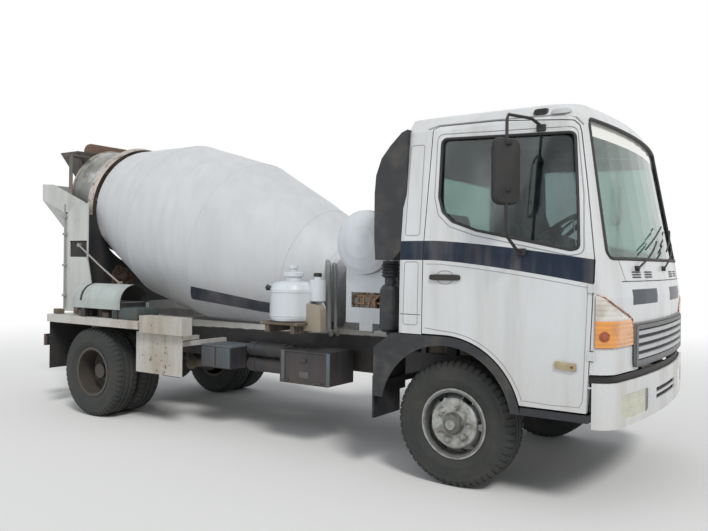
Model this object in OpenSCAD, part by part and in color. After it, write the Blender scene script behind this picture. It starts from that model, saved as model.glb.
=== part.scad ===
// Concrete mixer truck: a right-hand-drive cab-over chassis that carries a
// tilted mixing drum on two pedestals. X points forward, Y to the left and Z
// up; the origin is on the ground, under the middle of the bounding box.

/* [Overall] */
// Distance from the front axle to the rear axle
wheelbase = 3780; // [3600:10:4200]
// Distance from the front axle forward to the face of the bumper
front_overhang = 1150; // [1140:5:1180]
// Distance from the rear axle back to the tail of the discharge funnel
rear_overhang = 1550; // [1540:5:1620]

/* [Wheels] */
// Outer radius of every tyre
tyre_r = 421; // [410:1:425]
// Width of a tyre across its sidewalls
tyre_w = 240; // [225:1:245]
// Radius of the bead seat, where the tyre meets the rim
bead_r = 222; // [215:1:226]
// Height of the rim's flange above the bead seat
flange_h = 13; // [8:1:16]
// Distance between the two front tyres, middle to middle
front_track = 1746; // [1740:2:1760]
// Distance between the middles of the two pairs of rear tyres
rear_track = 1600; // [1590:2:1612]
// Distance between the two tyres of a rear pair, middle to middle
dual_pitch = 268; // [262:1:274]

/* [Frame] */
// Height of the chassis rails' lower face above the ground
rail_bottom = 600; // [590:1:605]
// Height of a chassis rail
rail_h = 200; // [190:1:205]
// Distance across the outer faces of the chassis rails
rail_span = 840; // [820:2:860]
// Width of a chassis rail's flanges
rail_flange = 65; // [50:1:80]
// Thickness of a chassis rail's walls
rail_wall = 8; // [6:0.5:10]
// Height of the white sub-frame on top of the rails
sub_h = 125; // [120:1:130]
// Distance from the rear axle back to the end of the rails
rail_tail = 940; // [930:5:980]

/* [Cab] */
// Half of the cab's width below the windows
cab_half_w = 1080; // [1070:1:1085]
// Thickness of the cab's walls and doors
cab_wall = 45; // [36:1:50]
// Height of the roof's crown above the ground
roof_z = 2545; // [2525:1:2585]
// Distance from the front axle back to the cab's rear wall
cab_back = 385; // [375:1:395]
// Radius of the cab's wheel arch
arch_r = 545; // [540:1:550]
// Gap all round a door
door_gap = 6; // [5:0.5:9]
// Thickness of the window glass
glass_t = 6; // [4:0.5:8]

/* [Drum] */
// Angle of the drum's axis above level
drum_tilt = 16; // [15.5:0.25:16.5]
// Radius of the drum at its belly
drum_r = 818; // [790:1:830]
// Wall thickness of the drum
drum_wall = 10; // [6:0.5:14]
// Radius of the drum's mouth
mouth_r = 455; // [440:1:465]
// Outer radius of the track ring that runs on the rollers
ring_r = 600; // [595:1:610]
// Width of the track ring along the drum
ring_w = 90; // [80:1:100]
// Radius of each support roller
roller_r = 110; // [100:1:115]

/* [Tanks and chutes] */
// Radius of the water tank behind the cab
tank_r = 245; // [235:1:250]
// Length of the water tank between its dished ends
tank_len = 1360; // [1300:5:1400]
// Outer radius of the main chute's half-round trough
chute_r = 180; // [170:1:185]
// Length of the main chute
chute_len = 1150; // [1050:5:1170]
// Wall thickness of the chutes
chute_wall = 6; // [5:0.5:8]
// Outer radius of the spare chute stowed on the deck
spare_r = 167; // [160:1:175]
// Length of the spare chute
spare_len = 720; // [680:10:760]

/* [Hidden] */
$fn = 48;

// Running clearance between a shaft and its bore, and between seated faces
run_gap = 0.3;
// X of the two axles, so that the bounding box is centred on the origin
front_x = (rear_overhang + wheelbase - front_overhang) / 2;
rear_x = front_x - wheelbase;
axle_z = tyre_r;
// Sideways distance from the centre line to each king pin
kingpin_y = front_track / 2 - 103;
rail_top = rail_bottom + rail_h;
rail_y = rail_span / 2;
sub_top = rail_top + sub_h;
deck_t = 20;
deck_top = sub_top + deck_t;
rail_nose = 950;

// Drum stations: distance along the axis from the front end, outer radius
drum_x = 2263;
drum_z = 1308;
mouth_s = 3580;
ring_s = 3030;
drum_stations = [
    [-130, 200], [-110, 320], [-60, 410], [0, 455], [330, drum_r * 0.715],
    [520, drum_r * 0.786], [1240, drum_r], [2110, drum_r], [2930, 590], [2972, 505], [3090, 503],
    [mouth_s, mouth_r]];

// Draw from the front axle, with the ground at zero
module at_front() translate([front_x, 0, 0]) children();
// Draw from the rear axle, with the ground at zero
module at_rear() translate([rear_x, 0, 0]) children();
// Draw in the drum's own frame: Z runs backwards along its axis, X points up
module on_drum(s) at_rear() translate([drum_x, 0, drum_z])
    rotate([0, drum_tilt - 90, 0]) translate([0, 0, s]) children();
// Repeat something on the other side of the truck
module both_sides() {
    children();
    mirror([0, 1, 0]) children();
}
// A box given by its two opposite corners
module block(low, high) translate(low) cube(high - low);
// A plate in the XZ plane, outlined by points, between two Y values
module side_plate(points, y0, y1) translate([0, y1, 0]) rotate([90, 0, 0])
    linear_extrude(y1 - y0) polygon(points);
// A plate in the YZ plane, outlined by points, between two X values
module front_plate(points, x0, x1) translate([x0, 0, 0]) rotate([90, 0, 90])
    linear_extrude(x1 - x0) polygon(points);
// A cylinder along Y between two Y values
module y_rod(x, z, r, y0, y1) translate([x, y1, z]) rotate([90, 0, 0]) cylinder(r = r, h = y1 - y0);
// A cylinder along X between two X values
module x_rod(y, z, r, x0, x1) translate([x0, y, z]) rotate([0, 90, 0]) cylinder(r = r, h = x1 - x0);

// Chassis frame
module rail_section() difference() {
    translate([rail_y - rail_flange, rail_bottom]) square([rail_flange, rail_h]);
    translate([rail_y - rail_flange - 1, rail_bottom + rail_wall])
        square([rail_flange + 1 - rail_wall, rail_h - 2 * rail_wall]);
}
module chassis_rails() color("#2b2c2e") both_sides()
    translate([rear_x - rail_tail, 0, 0]) rotate([90, 0, 90])
        linear_extrude(wheelbase + rail_tail + rail_nose) rail_section();

// Middles of the cross members along the frame; they pass above the propeller shaft
cross_members = [front_x + 700, front_x - 1150, front_x - 1500, rear_x + 800, rear_x - 480, rear_x - 880];
cross_w = 90;
cross_low = 705;
module crossmembers() color("#26272a") {
    inner = rail_y - rail_wall;
    for (x = cross_members)
        block([x - cross_w / 2, -inner, cross_low], [x + cross_w / 2, inner, rail_top - rail_wall - 2]);
    at_front() {
        both_sides() cab_rest_post();
        both_sides() cab_hinge_bracket();
        both_sides() front_tow_eye();
    }
    at_rear() rear_tow_eye();
}
// Towing eyes: one under each rail's nose and one behind the last cross member
tow_r = 20;
tow_t = 20;
front_tow = [925, 490];
rear_tow = [-1000, 740];
module front_tow_eye() difference() {
    side_plate([[840, rail_bottom - run_gap], [890, 452], [960, 452], [975, rail_bottom - run_gap]],
        rail_y - rail_flange + 10, rail_y - rail_flange + 10 + tow_t);
    y_rod(front_tow[0], front_tow[1], tow_r, 0, 1000);
}
module rear_tow_eye() difference() {
    side_plate([[-840, cross_low], [-840, 755], [-1000, 780], [-1040, 740], [-1000, 700], [-925, cross_low]],
        -tow_t / 2, tow_t / 2);
    y_rod(rear_tow[0], rear_tow[1], tow_r, -50, 50);
}
// The posts behind the engine on which the cab's rear rests
rest_x = -290;
floor_z = 1015;
module cab_rest_post() {
    block([rest_x - 40, rail_y - 55, rail_top], [rest_x + 40, rail_y, floor_z - 15]);
    translate([rest_x, rail_y - 28, floor_z - 15]) cylinder(r = 26, h = 15 - run_gap);
}
// The brackets at the rails' noses, with the pins that the cab tilts on
hinge_x = 1092;
hinge_z = 785;
cab_pin_r = 12;
boss_r = 20;
plate_y = rail_y - rail_wall - 14;
module cab_hinge_bracket() {
    side_plate([[rail_nose - 160, rail_bottom + 30], [hinge_x + boss_r - 4, hinge_z - 22],
        [hinge_x + boss_r - 4, hinge_z + 20], [rail_nose - 160, rail_top - 40]], plate_y, rail_y - rail_wall);
    y_rod(hinge_x, hinge_z, cab_pin_r, plate_y, rail_y + 45);
}

// White sub-frame on the rails
sub_w = 50;
sub_nose = -650;
module sub_frame() color("#d9dad6") {
    both_sides() block([rear_x - rail_tail, rail_y - sub_w, rail_top], [front_x + sub_nose, rail_y, sub_top]);
    for (x = [rear_x - rail_tail + 60, rear_x + 300, front_x + sub_nose - 60])
        block([x - 40, sub_w - rail_y, rail_top + 30], [x + 40, rail_y - sub_w, sub_top - 10]);
    both_sides() block([rear_x - rail_tail, rail_y - sub_w, sub_top],
        [rear_x - deck_tail - 5, rail_y, deck_top]);
}

// Front axle: a dropped beam with an eye and king pin at each end, and its springs
eye_r = 40;
eye_h = 120;
king_r = 16;
yoke_gap = 5;
lug_h = 46;
spring_y = 380;
spring_w = 60;
// Spring leaves: half length, arch height at the ends
module leaf_pack(z, half, leaves, leaf_t) {
    for (i = [0 : leaves - 1]) {
        reach = half * (1 - i / leaves * 0.72);
        block([-reach, spring_y - spring_w / 2, z - (i + 1) * leaf_t],
            [reach, spring_y + spring_w / 2, z - i * leaf_t]);
    }
    for (end = [-1, 1]) {
        y_rod(end * half, z, 28, spring_y - spring_w / 2, spring_y + spring_w / 2);
        block([end * half - 22, spring_y - spring_w / 2 + 8, z],
            [end * half + 22, spring_y + spring_w / 2 - 8, rail_bottom]);
    }
}
module front_axle() color("#222326") at_front() {
    beam_z = axle_z - 50;
    block([-45, -spring_y - 80, beam_z - 40], [45, spring_y + 80, beam_z - 22]);
    block([-45, -spring_y - 80, beam_z + 22], [45, spring_y + 80, beam_z + 40]);
    block([-12, -spring_y - 80, beam_z - 30], [12, spring_y + 80, beam_z + 30]);
    both_sides() {
        side_y = spring_y + 60;
        front_plate([[side_y, beam_z - 40], [side_y, beam_z + 40], [kingpin_y - 20, axle_z + 45],
            [kingpin_y - 20, axle_z - 45]], -40, 40);
        translate([0, kingpin_y, axle_z - eye_h / 2]) cylinder(r = eye_r, h = eye_h);
        translate([0, kingpin_y, axle_z - eye_h / 2 - lug_h - yoke_gap])
            cylinder(r = king_r, h = eye_h + 2 * (lug_h + yoke_gap));
        block([-60, spring_y - 40, beam_z + 40], [60, spring_y + 40, 500 - 3 * 14 + 1]);
        leaf_pack(500, 560, 3, 14);
    }
}

// Steering knuckle on the left; the right one is its mirror image
spindle_r = 30;
arm_len = 170;
arm_in = 70;
module knuckle_shape() at_front() {
    low = axle_z - eye_h / 2 - yoke_gap - lug_h;
    high = axle_z + eye_h / 2 + yoke_gap;
    difference() {
        union() {
            for (z = [low, high]) {
                translate([0, kingpin_y, z]) cylinder(r = eye_r, h = lug_h);
                block([-eye_r, kingpin_y, z], [eye_r, kingpin_y + eye_r + 28, z + lug_h]);
            }
            block([-eye_r, kingpin_y + eye_r + 6, low], [eye_r, kingpin_y + eye_r + 28, high + lug_h]);
            translate([0, 0, low]) linear_extrude(24) polygon([[-10, kingpin_y - 30],
                [-arm_len, kingpin_y - arm_in - 20], [-arm_len - 5, kingpin_y - arm_in + 20], [-20, kingpin_y + 25]]);
            translate([-arm_len, kingpin_y - arm_in, low]) cylinder(r = 22, h = 24);
        }
        translate([0, kingpin_y, low - 1]) cylinder(r = king_r + run_gap, h = high + lug_h - low + 2);
    }
    y_rod(0, axle_z, spindle_r, kingpin_y + eye_r + 20, front_track / 2 + 70);
}
module knuckle_left() color("#2c2b2a") knuckle_shape();
module knuckle_right() color("#2c2b2a") mirror([0, 1, 0]) knuckle_shape();

// Tie rod behind the axle, just under the two steering arms
module tie_rod() color("#303030") at_front()
    y_rod(-arm_len, axle_z - eye_h / 2 - yoke_gap - lug_h - 19 - 0.6, 19,
        arm_in - kingpin_y - 15, kingpin_y - arm_in + 15);

// Rear axle: tube, differential and springs
rear_spindle_r = 45;
hub_face = 500;
module rear_axle() color("#222326") at_rear() {
    y_rod(0, axle_z, 62, -hub_face, hub_face);
    x_rod(0, axle_z, 175, -110, 90);
    translate([90, 0, axle_z]) rotate([0, 90, 0]) cylinder(r1 = 175, r2 = 70, h = 150);
    translate([-110, 0, axle_z]) rotate([0, -90, 0]) cylinder(r1 = 175, r2 = 110, h = 60);
    both_sides() {
        y_rod(0, axle_z, 160, hub_face - 10, hub_face + 40);
        y_rod(0, axle_z, rear_spindle_r, hub_face, rear_track / 2 + 60);
        block([-70, spring_y - 40, axle_z + 40], [70, spring_y + 40, 545 - 4 * 15 + 1]);
        leaf_pack(545, 620, 4, 15);
    }
}

// Engine: one plain block between the rails, with the radiator ahead of it
engine_top = 1225;
module engine() color("#3a3b3c") at_front() {
    difference() {
        block([-560, -270, 470], [420, 270, engine_top]);
        block([-120, -271, 469], [120, 271, 500]);
    }
    block([419, -60, 600], [560, 60, 900]);
    block([560, -290, 560], [640, 290, 1120]);
}

// Gearbox behind the engine and the propeller shaft to the rear axle
module drive_line() color("#37383a") {
    at_front() {
        translate([-560 - run_gap, 0, 660]) rotate([0, -90, 0]) cylinder(r1 = 180, r2 = 130, h = 420);
        x_rod(0, 660, 60, -1020, -979);
    }
    start = [front_x - 1020, 660];
    finish = [rear_x + 240 + run_gap, axle_z];
    run = norm(start - finish);
    fall = atan2(start[1] - finish[1], start[0] - finish[0]);
    difference() {
        translate([finish[0], 0, finish[1]]) rotate([0, 90 - fall, 0]) translate([0, 0, -20]) {
            cylinder(r = 45, h = run + 20);
            cylinder(r = 68, h = 45);
        }
        block([finish[0] - 100, -100, 200], [finish[0], 100, 600]);
    }
}

// Wheels: rings are drawn round Z with the outer side up, then laid on the axle
module on_axle(side, y) translate([0, side * y, axle_z]) rotate([-side * 90, 0, 0]) children();
tyre_seat = 92;
module tyre_ring() rotate_extrude($fn = 96) {
    half = tyre_w / 2;
    upper = [[bead_r, tyre_seat], [bead_r + flange_h, tyre_seat + 1], [bead_r + 45, half - 8],
        [bead_r + 90, half], [tyre_r - 70, half - 1], [tyre_r - 32, half - 10],
        [tyre_r - 12, half - 20], [tyre_r, half - 42]];
    lower = [for (i = [len(upper) - 1 : -1 : 0]) [upper[i][0], -upper[i][1]]];
    polygon(concat(upper, lower));
}
// Rim barrel with its two flanges
rim_t = 12;
module rim_barrel() rotate_extrude($fn = 96) {
    lip = tyre_seat + run_gap + 1;
    seat = bead_r - run_gap;
    polygon([[seat, -lip], [bead_r + flange_h, -lip], [bead_r + flange_h, -lip - 9], [seat - rim_t, -lip - 9],
        [seat - rim_t, lip + 9], [bead_r + flange_h, lip + 9], [bead_r + flange_h, lip], [seat, lip]]);
}
hand_holes = 6;
module front_rim() difference() {
    union() {
        rim_barrel();
        rotate_extrude() polygon([[0, 40], [64, 40], [64, 82], [150, 82], [190, 32], [bead_r - 5, 22],
            [bead_r - 5, 38], [204, 44], [160, 97], [66, 97], [60, 128], [36, 134], [32, 150], [0, 150]]);
        translate([0, 0, -30]) cylinder(r = 70, h = 72);
    }
    translate([0, 0, -31]) cylinder(r = spindle_r + run_gap, h = 115);
    for (i = [0 : hand_holes - 1], a = [-6, 0, 6]) rotate(i * 360 / hand_holes + a)
        translate([184, 0, 0]) cylinder(r = 20, h = 100, $fn = 24);
}
module rear_rim() difference() {
    union() {
        for (end = [-1, 1]) translate([0, 0, end * dual_pitch / 2]) rim_barrel();
        rotate_extrude() polygon([[100, -8], [150, -8], [190, 30], [bead_r - 5, 44], [bead_r - 5, 58], [184, 44],
            [145, 8], [100, 8]]);
        rotate_extrude() polygon([[100, -9], [145, -9], [184, -44], [bead_r - 5, -58], [bead_r - 5, -44], [190, -30],
            [150, 7], [100, 7]]);
        translate([0, 0, -150]) cylinder(r = 101, h = 230);
        cylinder(r = 70, h = 150);
    }
    translate([0, 0, -151]) cylinder(r = rear_spindle_r + run_gap, h = 230);
}
module rim_front_left() color("#8c8a85") at_front() on_axle(1, front_track / 2) front_rim();
module rim_front_right() color("#8c8a85") at_front() on_axle(-1, front_track / 2) front_rim();
module rim_rear_left() color("#3c3a37") at_rear() on_axle(1, rear_track / 2) rear_rim();
module rim_rear_right() color("#3c3a37") at_rear() on_axle(-1, rear_track / 2) rear_rim();
module tyre_front_left() color("#2a2927") at_front() on_axle(1, front_track / 2) tyre_ring();
module tyre_front_right() color("#2a2927") at_front() on_axle(-1, front_track / 2) tyre_ring();
module tyre_pair(side) at_rear() on_axle(side, rear_track / 2)
    for (end = [-1, 1]) translate([0, 0, end * dual_pitch / 2]) tyre_ring();
module tyre_rear_left() color("#2a2927") tyre_pair(1);
module tyre_rear_right() color("#2a2927") tyre_pair(-1);

// Cab form: levels from the door's foot to the roof.
// Columns: height, rear face, middle of the front face, half width, corner radius, bow of the front
cab_foot = 620;
cab_levels = [
    [cab_foot, -cab_back, 1125, cab_half_w, 150, 70],
    [1300, -cab_back, 1125, cab_half_w - 2, 150, 70],
    [1560, -cab_back, 1085, cab_half_w - 8, 150, 75],
    [2390, 5 - cab_back, 925, 990, 140, 70],
    [2490, 15 - cab_back, 860, 915, 140, 60],
    [roof_z, 90 - cab_back, 700, 700, 120, 50]];
// Half outline of one level, from the middle of the front round to the rear
function cab_half_ring(row, inset) = let (
    rear = row[1] + inset,
    front = row[2] - inset,
    half = row[3] - inset,
    r = row[4],
    turn = 9,
    edge = half - r + r * sin(turn))
    concat(
        [for (t = [0 : 0.25 : 1]) [front - row[5] * t * t, edge * t]],
        [for (a = [turn + 16.2 : 16.2 : 90.1]) [front - row[5] - r * cos(turn) + r * cos(a), half - r + r * sin(a)]],
        [[rear + 45, half], [rear + 12, half - 12], [rear, half - 45]]);
function mirrored(points) = [for (i = [len(points) - 1 : -1 : 0]) [points[i][0], -points[i][1]]];
module cab_form(inset) hull() for (row = cab_levels) {
    z = row[0] == roof_z ? roof_z - inset : (row[0] == cab_foot ? cab_foot + inset : row[0]);
    ring = cab_half_ring(row, inset);
    translate([0, 0, z - 0.5]) linear_extrude(0.5) polygon(concat(ring, mirrored(ring)));
}
// What is taken away below the cab: wheel arches, engine tunnel and the room over the bumper
arch_x = -30;
door_foot_x = 912;
arch_z = floor_z - arch_r;
panel_z = 850;
module arch_profile(grow) {
    translate([arch_x, arch_z]) circle(r = arch_r + grow, $fn = 96);
    translate([-cab_back - 200, 0]) square([cab_back + 200 + arch_x, floor_z + grow]);
}
module under_cut(grow) {
    translate([0, cab_half_w + 50, 0]) rotate([90, 0, 0]) linear_extrude(2 * cab_half_w + 100) arch_profile(grow);
    block([300, -620 - grow, 0], [1300, 620 + grow, 860 + grow]);
    block([door_foot_x - grow, -cab_half_w - 50, 0], [1300, cab_half_w + 50, panel_z + grow]);
    block([-cab_back - 200, -340 - grow, 0], [800 + grow, 340 + grow, 1270 + grow]);
}
module cab_body(inset) difference() {
    cab_form(inset);
    under_cut(inset);
}
// Room inside the lowest part of the cab, down to the ground
module foot_block(inset) block([-cab_back, inset - cab_half_w, 0], [1300, cab_half_w - inset, cab_foot + inset + 1]);
// Outline of a door in the side view, and of the window in it
door_rear_x = -187;
door_head_z = 2418;
module door_profile() difference() {
    polygon([[door_rear_x, 615], [door_foot_x - 5, 615], [925, 986], [938, 1354], [938, 1537], [908, 1752],
        [874, 1990], [826, 2297], [814, 2340], [786, door_head_z - 50], [290, door_head_z - 4],
        [door_rear_x + 62, door_head_z], [door_rear_x + 24, door_head_z - 20], [door_rear_x, 1600]]);
    arch_profile(door_gap);
}
module window_profile() offset(r = 45) offset(delta = -45)
    polygon([[-94, 2328], [796, 2296], [832, 1911], [854, 1590], [806, 1580], [190, 1706], [15, 1768],
        [-60, 1835], [-92, 1935]]);
module screen_profile() offset(r = 60) offset(delta = -60)
    polygon([[-992, 1532], [-893, 2390], [893, 2390], [992, 1532]]);
module back_window_profile() offset(r = 50) offset(delta = -50) translate([-480, 1750]) square([960, 400]);
module across(y0, y1) translate([0, y1, 0]) rotate([90, 0, 0]) linear_extrude(y1 - y0) children();
module along(x0, x1) translate([x0, 0, 0]) rotate([90, 0, 90]) linear_extrude(x1 - x0) children();

// The two door openings, cut through the cab's outer walls only
module door_opening() difference() {
    both_sides() across(700, cab_half_w + 20) offset(delta = door_gap) door_profile();
    cab_form(cab_wall + 4);
    foot_block(cab_wall + 10);
}
module cab_shell() color("#e6e7e4") at_front() difference() {
    cab_body(0);
    cab_form(cab_wall);
    foot_block(cab_wall + 10 - run_gap);
    door_opening();
    both_sides() for (z = door_hinges) door_hinge(z, door_gap, run_gap);
    along(600, 1300) screen_profile();
    along(-cab_back - 20, 0) back_window_profile();
}
// Floor pan: the floors, engine tunnel and wheel arches that are pressed as one panel inside the shell
module cab_floor() color("#d6d8d6") at_front() {
    difference() {
        cab_body(0);
        difference() {
            cab_form(-10);
            cab_form(cab_wall + run_gap);
            foot_block(cab_wall + 10);
        }
        cab_body(cab_wall);
        door_opening();
    }
    both_sides() cab_hinge_arm();
}
// Arm below the cab floor that turns on the hinge pin
module cab_hinge_arm() {
    arm_y = rail_y + 10;
    difference() {
        union() {
            side_plate([[hinge_x - 70, 865], [hinge_x - boss_r, hinge_z], [hinge_x + 10, hinge_z + 17],
                [hinge_x - 35, 865]], arm_y, arm_y + 24);
            y_rod(hinge_x, hinge_z, boss_r, arm_y, arm_y + 24);
        }
        y_rod(hinge_x, hinge_z, cab_pin_r + run_gap, arm_y - 1, arm_y + 25);
    }
}
module cab_glass() color("#7d9aa0") at_front() intersection() {
    difference() {
        cab_form(20);
        cab_form(20 + glass_t);
    }
    union() {
        along(600, 1300) offset(delta = -run_gap) screen_profile();
        along(-cab_back - 20, 0) offset(delta = -run_gap) back_window_profile();
    }
}
module door_panel() at_front() {
    intersection() {
        difference() {
            cab_form(0);
            cab_form(cab_wall);
            foot_block(cab_wall);
        }
        difference() {
            across(700, cab_half_w + 20) door_profile();
            across(600, cab_half_w + 30) window_profile();
        }
    }
    for (z = door_hinges) door_hinge(z, 0, 0);
}
// Heights of the door's two hinges, each a barrel on the hinge line with a short strap
door_hinges = [930, 1330];
hinge_line = [948, cab_half_w - 2];
barrel_r = 7;
barrel_h = 55;
module door_hinge(z, grow, fit) {
    translate([hinge_line[0], hinge_line[1], z - grow]) cylinder(r = barrel_r + fit, h = barrel_h + 2 * grow);
    block([hinge_line[0] - 36, hinge_line[1] - 10 - grow, z - grow],
        [hinge_line[0] - 3, hinge_line[1] + 4 + grow, z + barrel_h + grow]);
}
module door_pane() at_front() intersection() {
    difference() {
        cab_form(20);
        cab_form(20 + glass_t);
    }
    across(700, cab_half_w + 20) offset(delta = -run_gap) window_profile();
}
module door_left() color("#e6e7e4") door_panel();
module door_right() color("#e6e7e4") mirror([0, 1, 0]) door_panel();
module door_glass_left() color("#6f8890") door_pane();
module door_glass_right() color("#6f8890") mirror([0, 1, 0]) door_pane();

// Mirror on two bent tubes that stand off the door
mirror_y = 1265;
mirror_x = 475;
tube_r = 10;
module tube_run(points) for (i = [0 : len(points) - 2]) {
    step = points[i + 1] - points[i];
    length = norm(step);
    translate(points[i]) rotate([0, acos(step[2] / length), atan2(step[1], step[0])])
        cylinder(r = tube_r, h = length, $fn = 24);
    translate(points[i + 1]) sphere(r = tube_r + 2, $fn = 24);
}
module mirror_shape() at_front() {
    door_top = 1006;
    difference() {
        tube_run([[590, door_top - 30, 2325], [560, door_top + 80, 2385], [mirror_x, mirror_y, 2385],
            [mirror_x, mirror_y, 1660], [500, cab_half_w + 60, 1575], [505, cab_half_w - 25, 1565]]);
        cab_form(-run_gap);
    }
    translate([mirror_x - 12, mirror_y + 5, 2050]) rotate(32) block([-28, -115, -205], [28, 115, 205]);
}
module mirror_left() color("#26272a") mirror_shape();
module mirror_right() color("#26272a") mirror([0, 1, 0]) mirror_shape();

// Seats and dashboard inside the cab
cushion_z = floor_z + cab_wall;
module seat(y, w) {
    block([-150, y - w / 2, cushion_z + run_gap], [330, y + w / 2, cushion_z + 260]);
    translate([-150, y - w / 2, cushion_z + 250]) rotate([0, -10, 0]) block([-10, 0, 0], [110, w, 560]);
}
module seats() color("#55585c") at_front() both_sides() seat(650, 500);
wheel_y = -620;
module dashboard() color("#3b3c3e") at_front() {
    intersection() {
        side_plate([[700, 1350], [680, 1480], [760, 1570], [1120, 1560], [1120, 1330], [860, 1330]], -900, 900);
        cab_form(cab_wall + run_gap);
    }
    translate([740, wheel_y, 1470]) rotate([0, -38, 0]) cylinder(r = 28, h = 290);
    translate([740, wheel_y, 1470]) rotate([0, -38, 0]) translate([0, 0, 280]) {
        rotate_extrude() translate([205, 0]) circle(r = 14, $fn = 24);
        cylinder(r = 60, h = 25);
        for (a = [0, 120, 240]) rotate(a) translate([0, -12, 0]) cube([205, 24, 10]);
    }
}

// Grille: a frame with slats on the front panel
grille_w = 1430;
grille_top = 1125;
grille_low = 880;
slats = 4;
module grille() color("#b9bcc0") at_front() intersection() {
    difference() {
        cab_form(-22);
        cab_form(-run_gap);
    }
    union() {
        along(900, 1300) difference() {
            translate([-grille_w / 2, grille_low]) square([grille_w, grille_top - grille_low]);
            translate([-grille_w / 2 + 35, grille_low + 25]) square([grille_w - 70, grille_top - grille_low - 50]);
        }
        pitch = (grille_top - grille_low - 50) / slats;
        for (i = [0 : slats - 1])
            along(900, 1300) translate([-grille_w / 2 + 20, grille_low + 25 + (i + 0.25) * pitch])
                square([grille_w - 40, pitch / 2]);
    }
}

// Corner lamps wrapped round the cab's front corners
module corner_lamps() color("#e08a2c") at_front() both_sides() intersection() {
    difference() {
        cab_form(-10);
        cab_form(-run_gap);
    }
    across(grille_w / 2 + 20, cab_half_w + 40)
        polygon([[958, 1010], [960, 1318], [1000, 1300], [1052, 1245], [1085, 1160], [1095, 1090], [1098, 1010]]);
}

// Bumper: a wrapped beam with two lamp pockets
bumper_low = 530;
bumper_top = 800;
bumper_back = 940;
bumper_t = 12;
lamp_depth = 60;
bumper_ring = [0, 500, front_overhang, cab_half_w, 150, 80];
module bumper_outline(inset) let (ring = cab_half_ring(bumper_ring, inset))
    polygon(concat(ring, mirrored(ring)));
lamp_y = 700;
lamp_w = 440;
lamp_z = 645;
lamp_h = 150;
// Width of the two cooling slots in the middle of the bumper
slot_w = 600;
module bumper() color("#e4e4e0") at_front() {
    difference() {
        intersection() {
            translate([0, 0, bumper_low]) linear_extrude(bumper_top - bumper_low) difference() {
                bumper_outline(0);
                bumper_outline(bumper_t);
            }
            block([bumper_back, -cab_half_w - 20, 0], [1300, cab_half_w + 20, bumper_top]);
        }
        both_sides() block([front_overhang - 170, lamp_y - lamp_w / 2, lamp_z - lamp_h / 2],
            [1300, lamp_y + lamp_w / 2, lamp_z + lamp_h / 2]);
        for (z = [lamp_z - 24, lamp_z + 20])
            block([front_overhang - 60, -slot_w / 2, z], [front_overhang + 20, slot_w / 2, z + 30]);
    }
    stay_y = plate_y - run_gap;
    both_sides() block([820, stay_y - 14, rail_bottom + 40], [front_overhang - bumper_t - 10, stay_y, rail_top - 40]);
}
module headlamps() color("#e7e0cc") at_front() both_sides() intersection() {
    translate([0, 0, lamp_z - lamp_h / 2 + run_gap]) linear_extrude(lamp_h - 2 * run_gap) difference() {
        bumper_outline(4);
        bumper_outline(lamp_depth);
    }
    block([900, lamp_y - lamp_w / 2 + run_gap, 0], [1300, lamp_y + lamp_w / 2 - run_gap, 1000]);
}

// Front mudguards, their stays and the steps below the doors
guard_t = 6;
guard_gap = 6;
guard_y = 630;
guard_foot = 560;
flare_t = 10;
flare_w = 60;
// Lower edge of the rubber flap behind each front wheel
flap_foot = 400;
// Side view of the guard: round over the wheel, level under the cab's floor and straight down behind the wheel
module guard_outline(inset) {
    top = arch_z + arch_r - guard_gap - inset;
    translate([arch_x, arch_z]) circle(r = arch_r - guard_gap - inset, $fn = 96);
    polygon([[arch_x, top], [-430 + inset / 3, top], [-575 + inset, 900 - inset / 2],
        [-575 + inset, guard_foot - 2 * inset], [arch_x, guard_foot - 2 * inset]]);
}
module guard_profile() difference() {
    guard_outline(0);
    children();
    translate([-800, -200]) square([1600, 200 + guard_foot]);
}
module mudguards() color("#1f2022") at_front() both_sides() {
    across(guard_y, cab_half_w - 7) guard_profile() guard_outline(guard_t);
    across(cab_half_w - 6 - flare_t, cab_half_w - 6) guard_profile()
        translate([arch_x, arch_z]) circle(r = arch_r - guard_gap - flare_w, $fn = 96);
    block([-573, rail_y + run_gap, 620], [-545, cab_half_w - 40, 660]);
    block([-583, guard_y + 70, flap_foot], [-574, cab_half_w - 14, 700]);
}
// Step below each door, on its stay from the rail, close ahead of the guard
step_x = arch_x + sqrt(pow(arch_r - guard_gap, 2) - pow(guard_foot - arch_z, 2)) + run_gap;
module cab_steps() color("#2a2b2c") at_front() both_sides() {
    block([step_x + 3, rail_y + run_gap, guard_foot], [step_x + 33, guard_y + 40, guard_foot + 46]);
    difference() {
        block([step_x, guard_y, guard_foot], [920, cab_half_w - 6, guard_foot + 46]);
        block([step_x + 20, guard_y + 20, guard_foot - 1], [900, cab_half_w - 26, guard_foot + 30]);
    }
}

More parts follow.
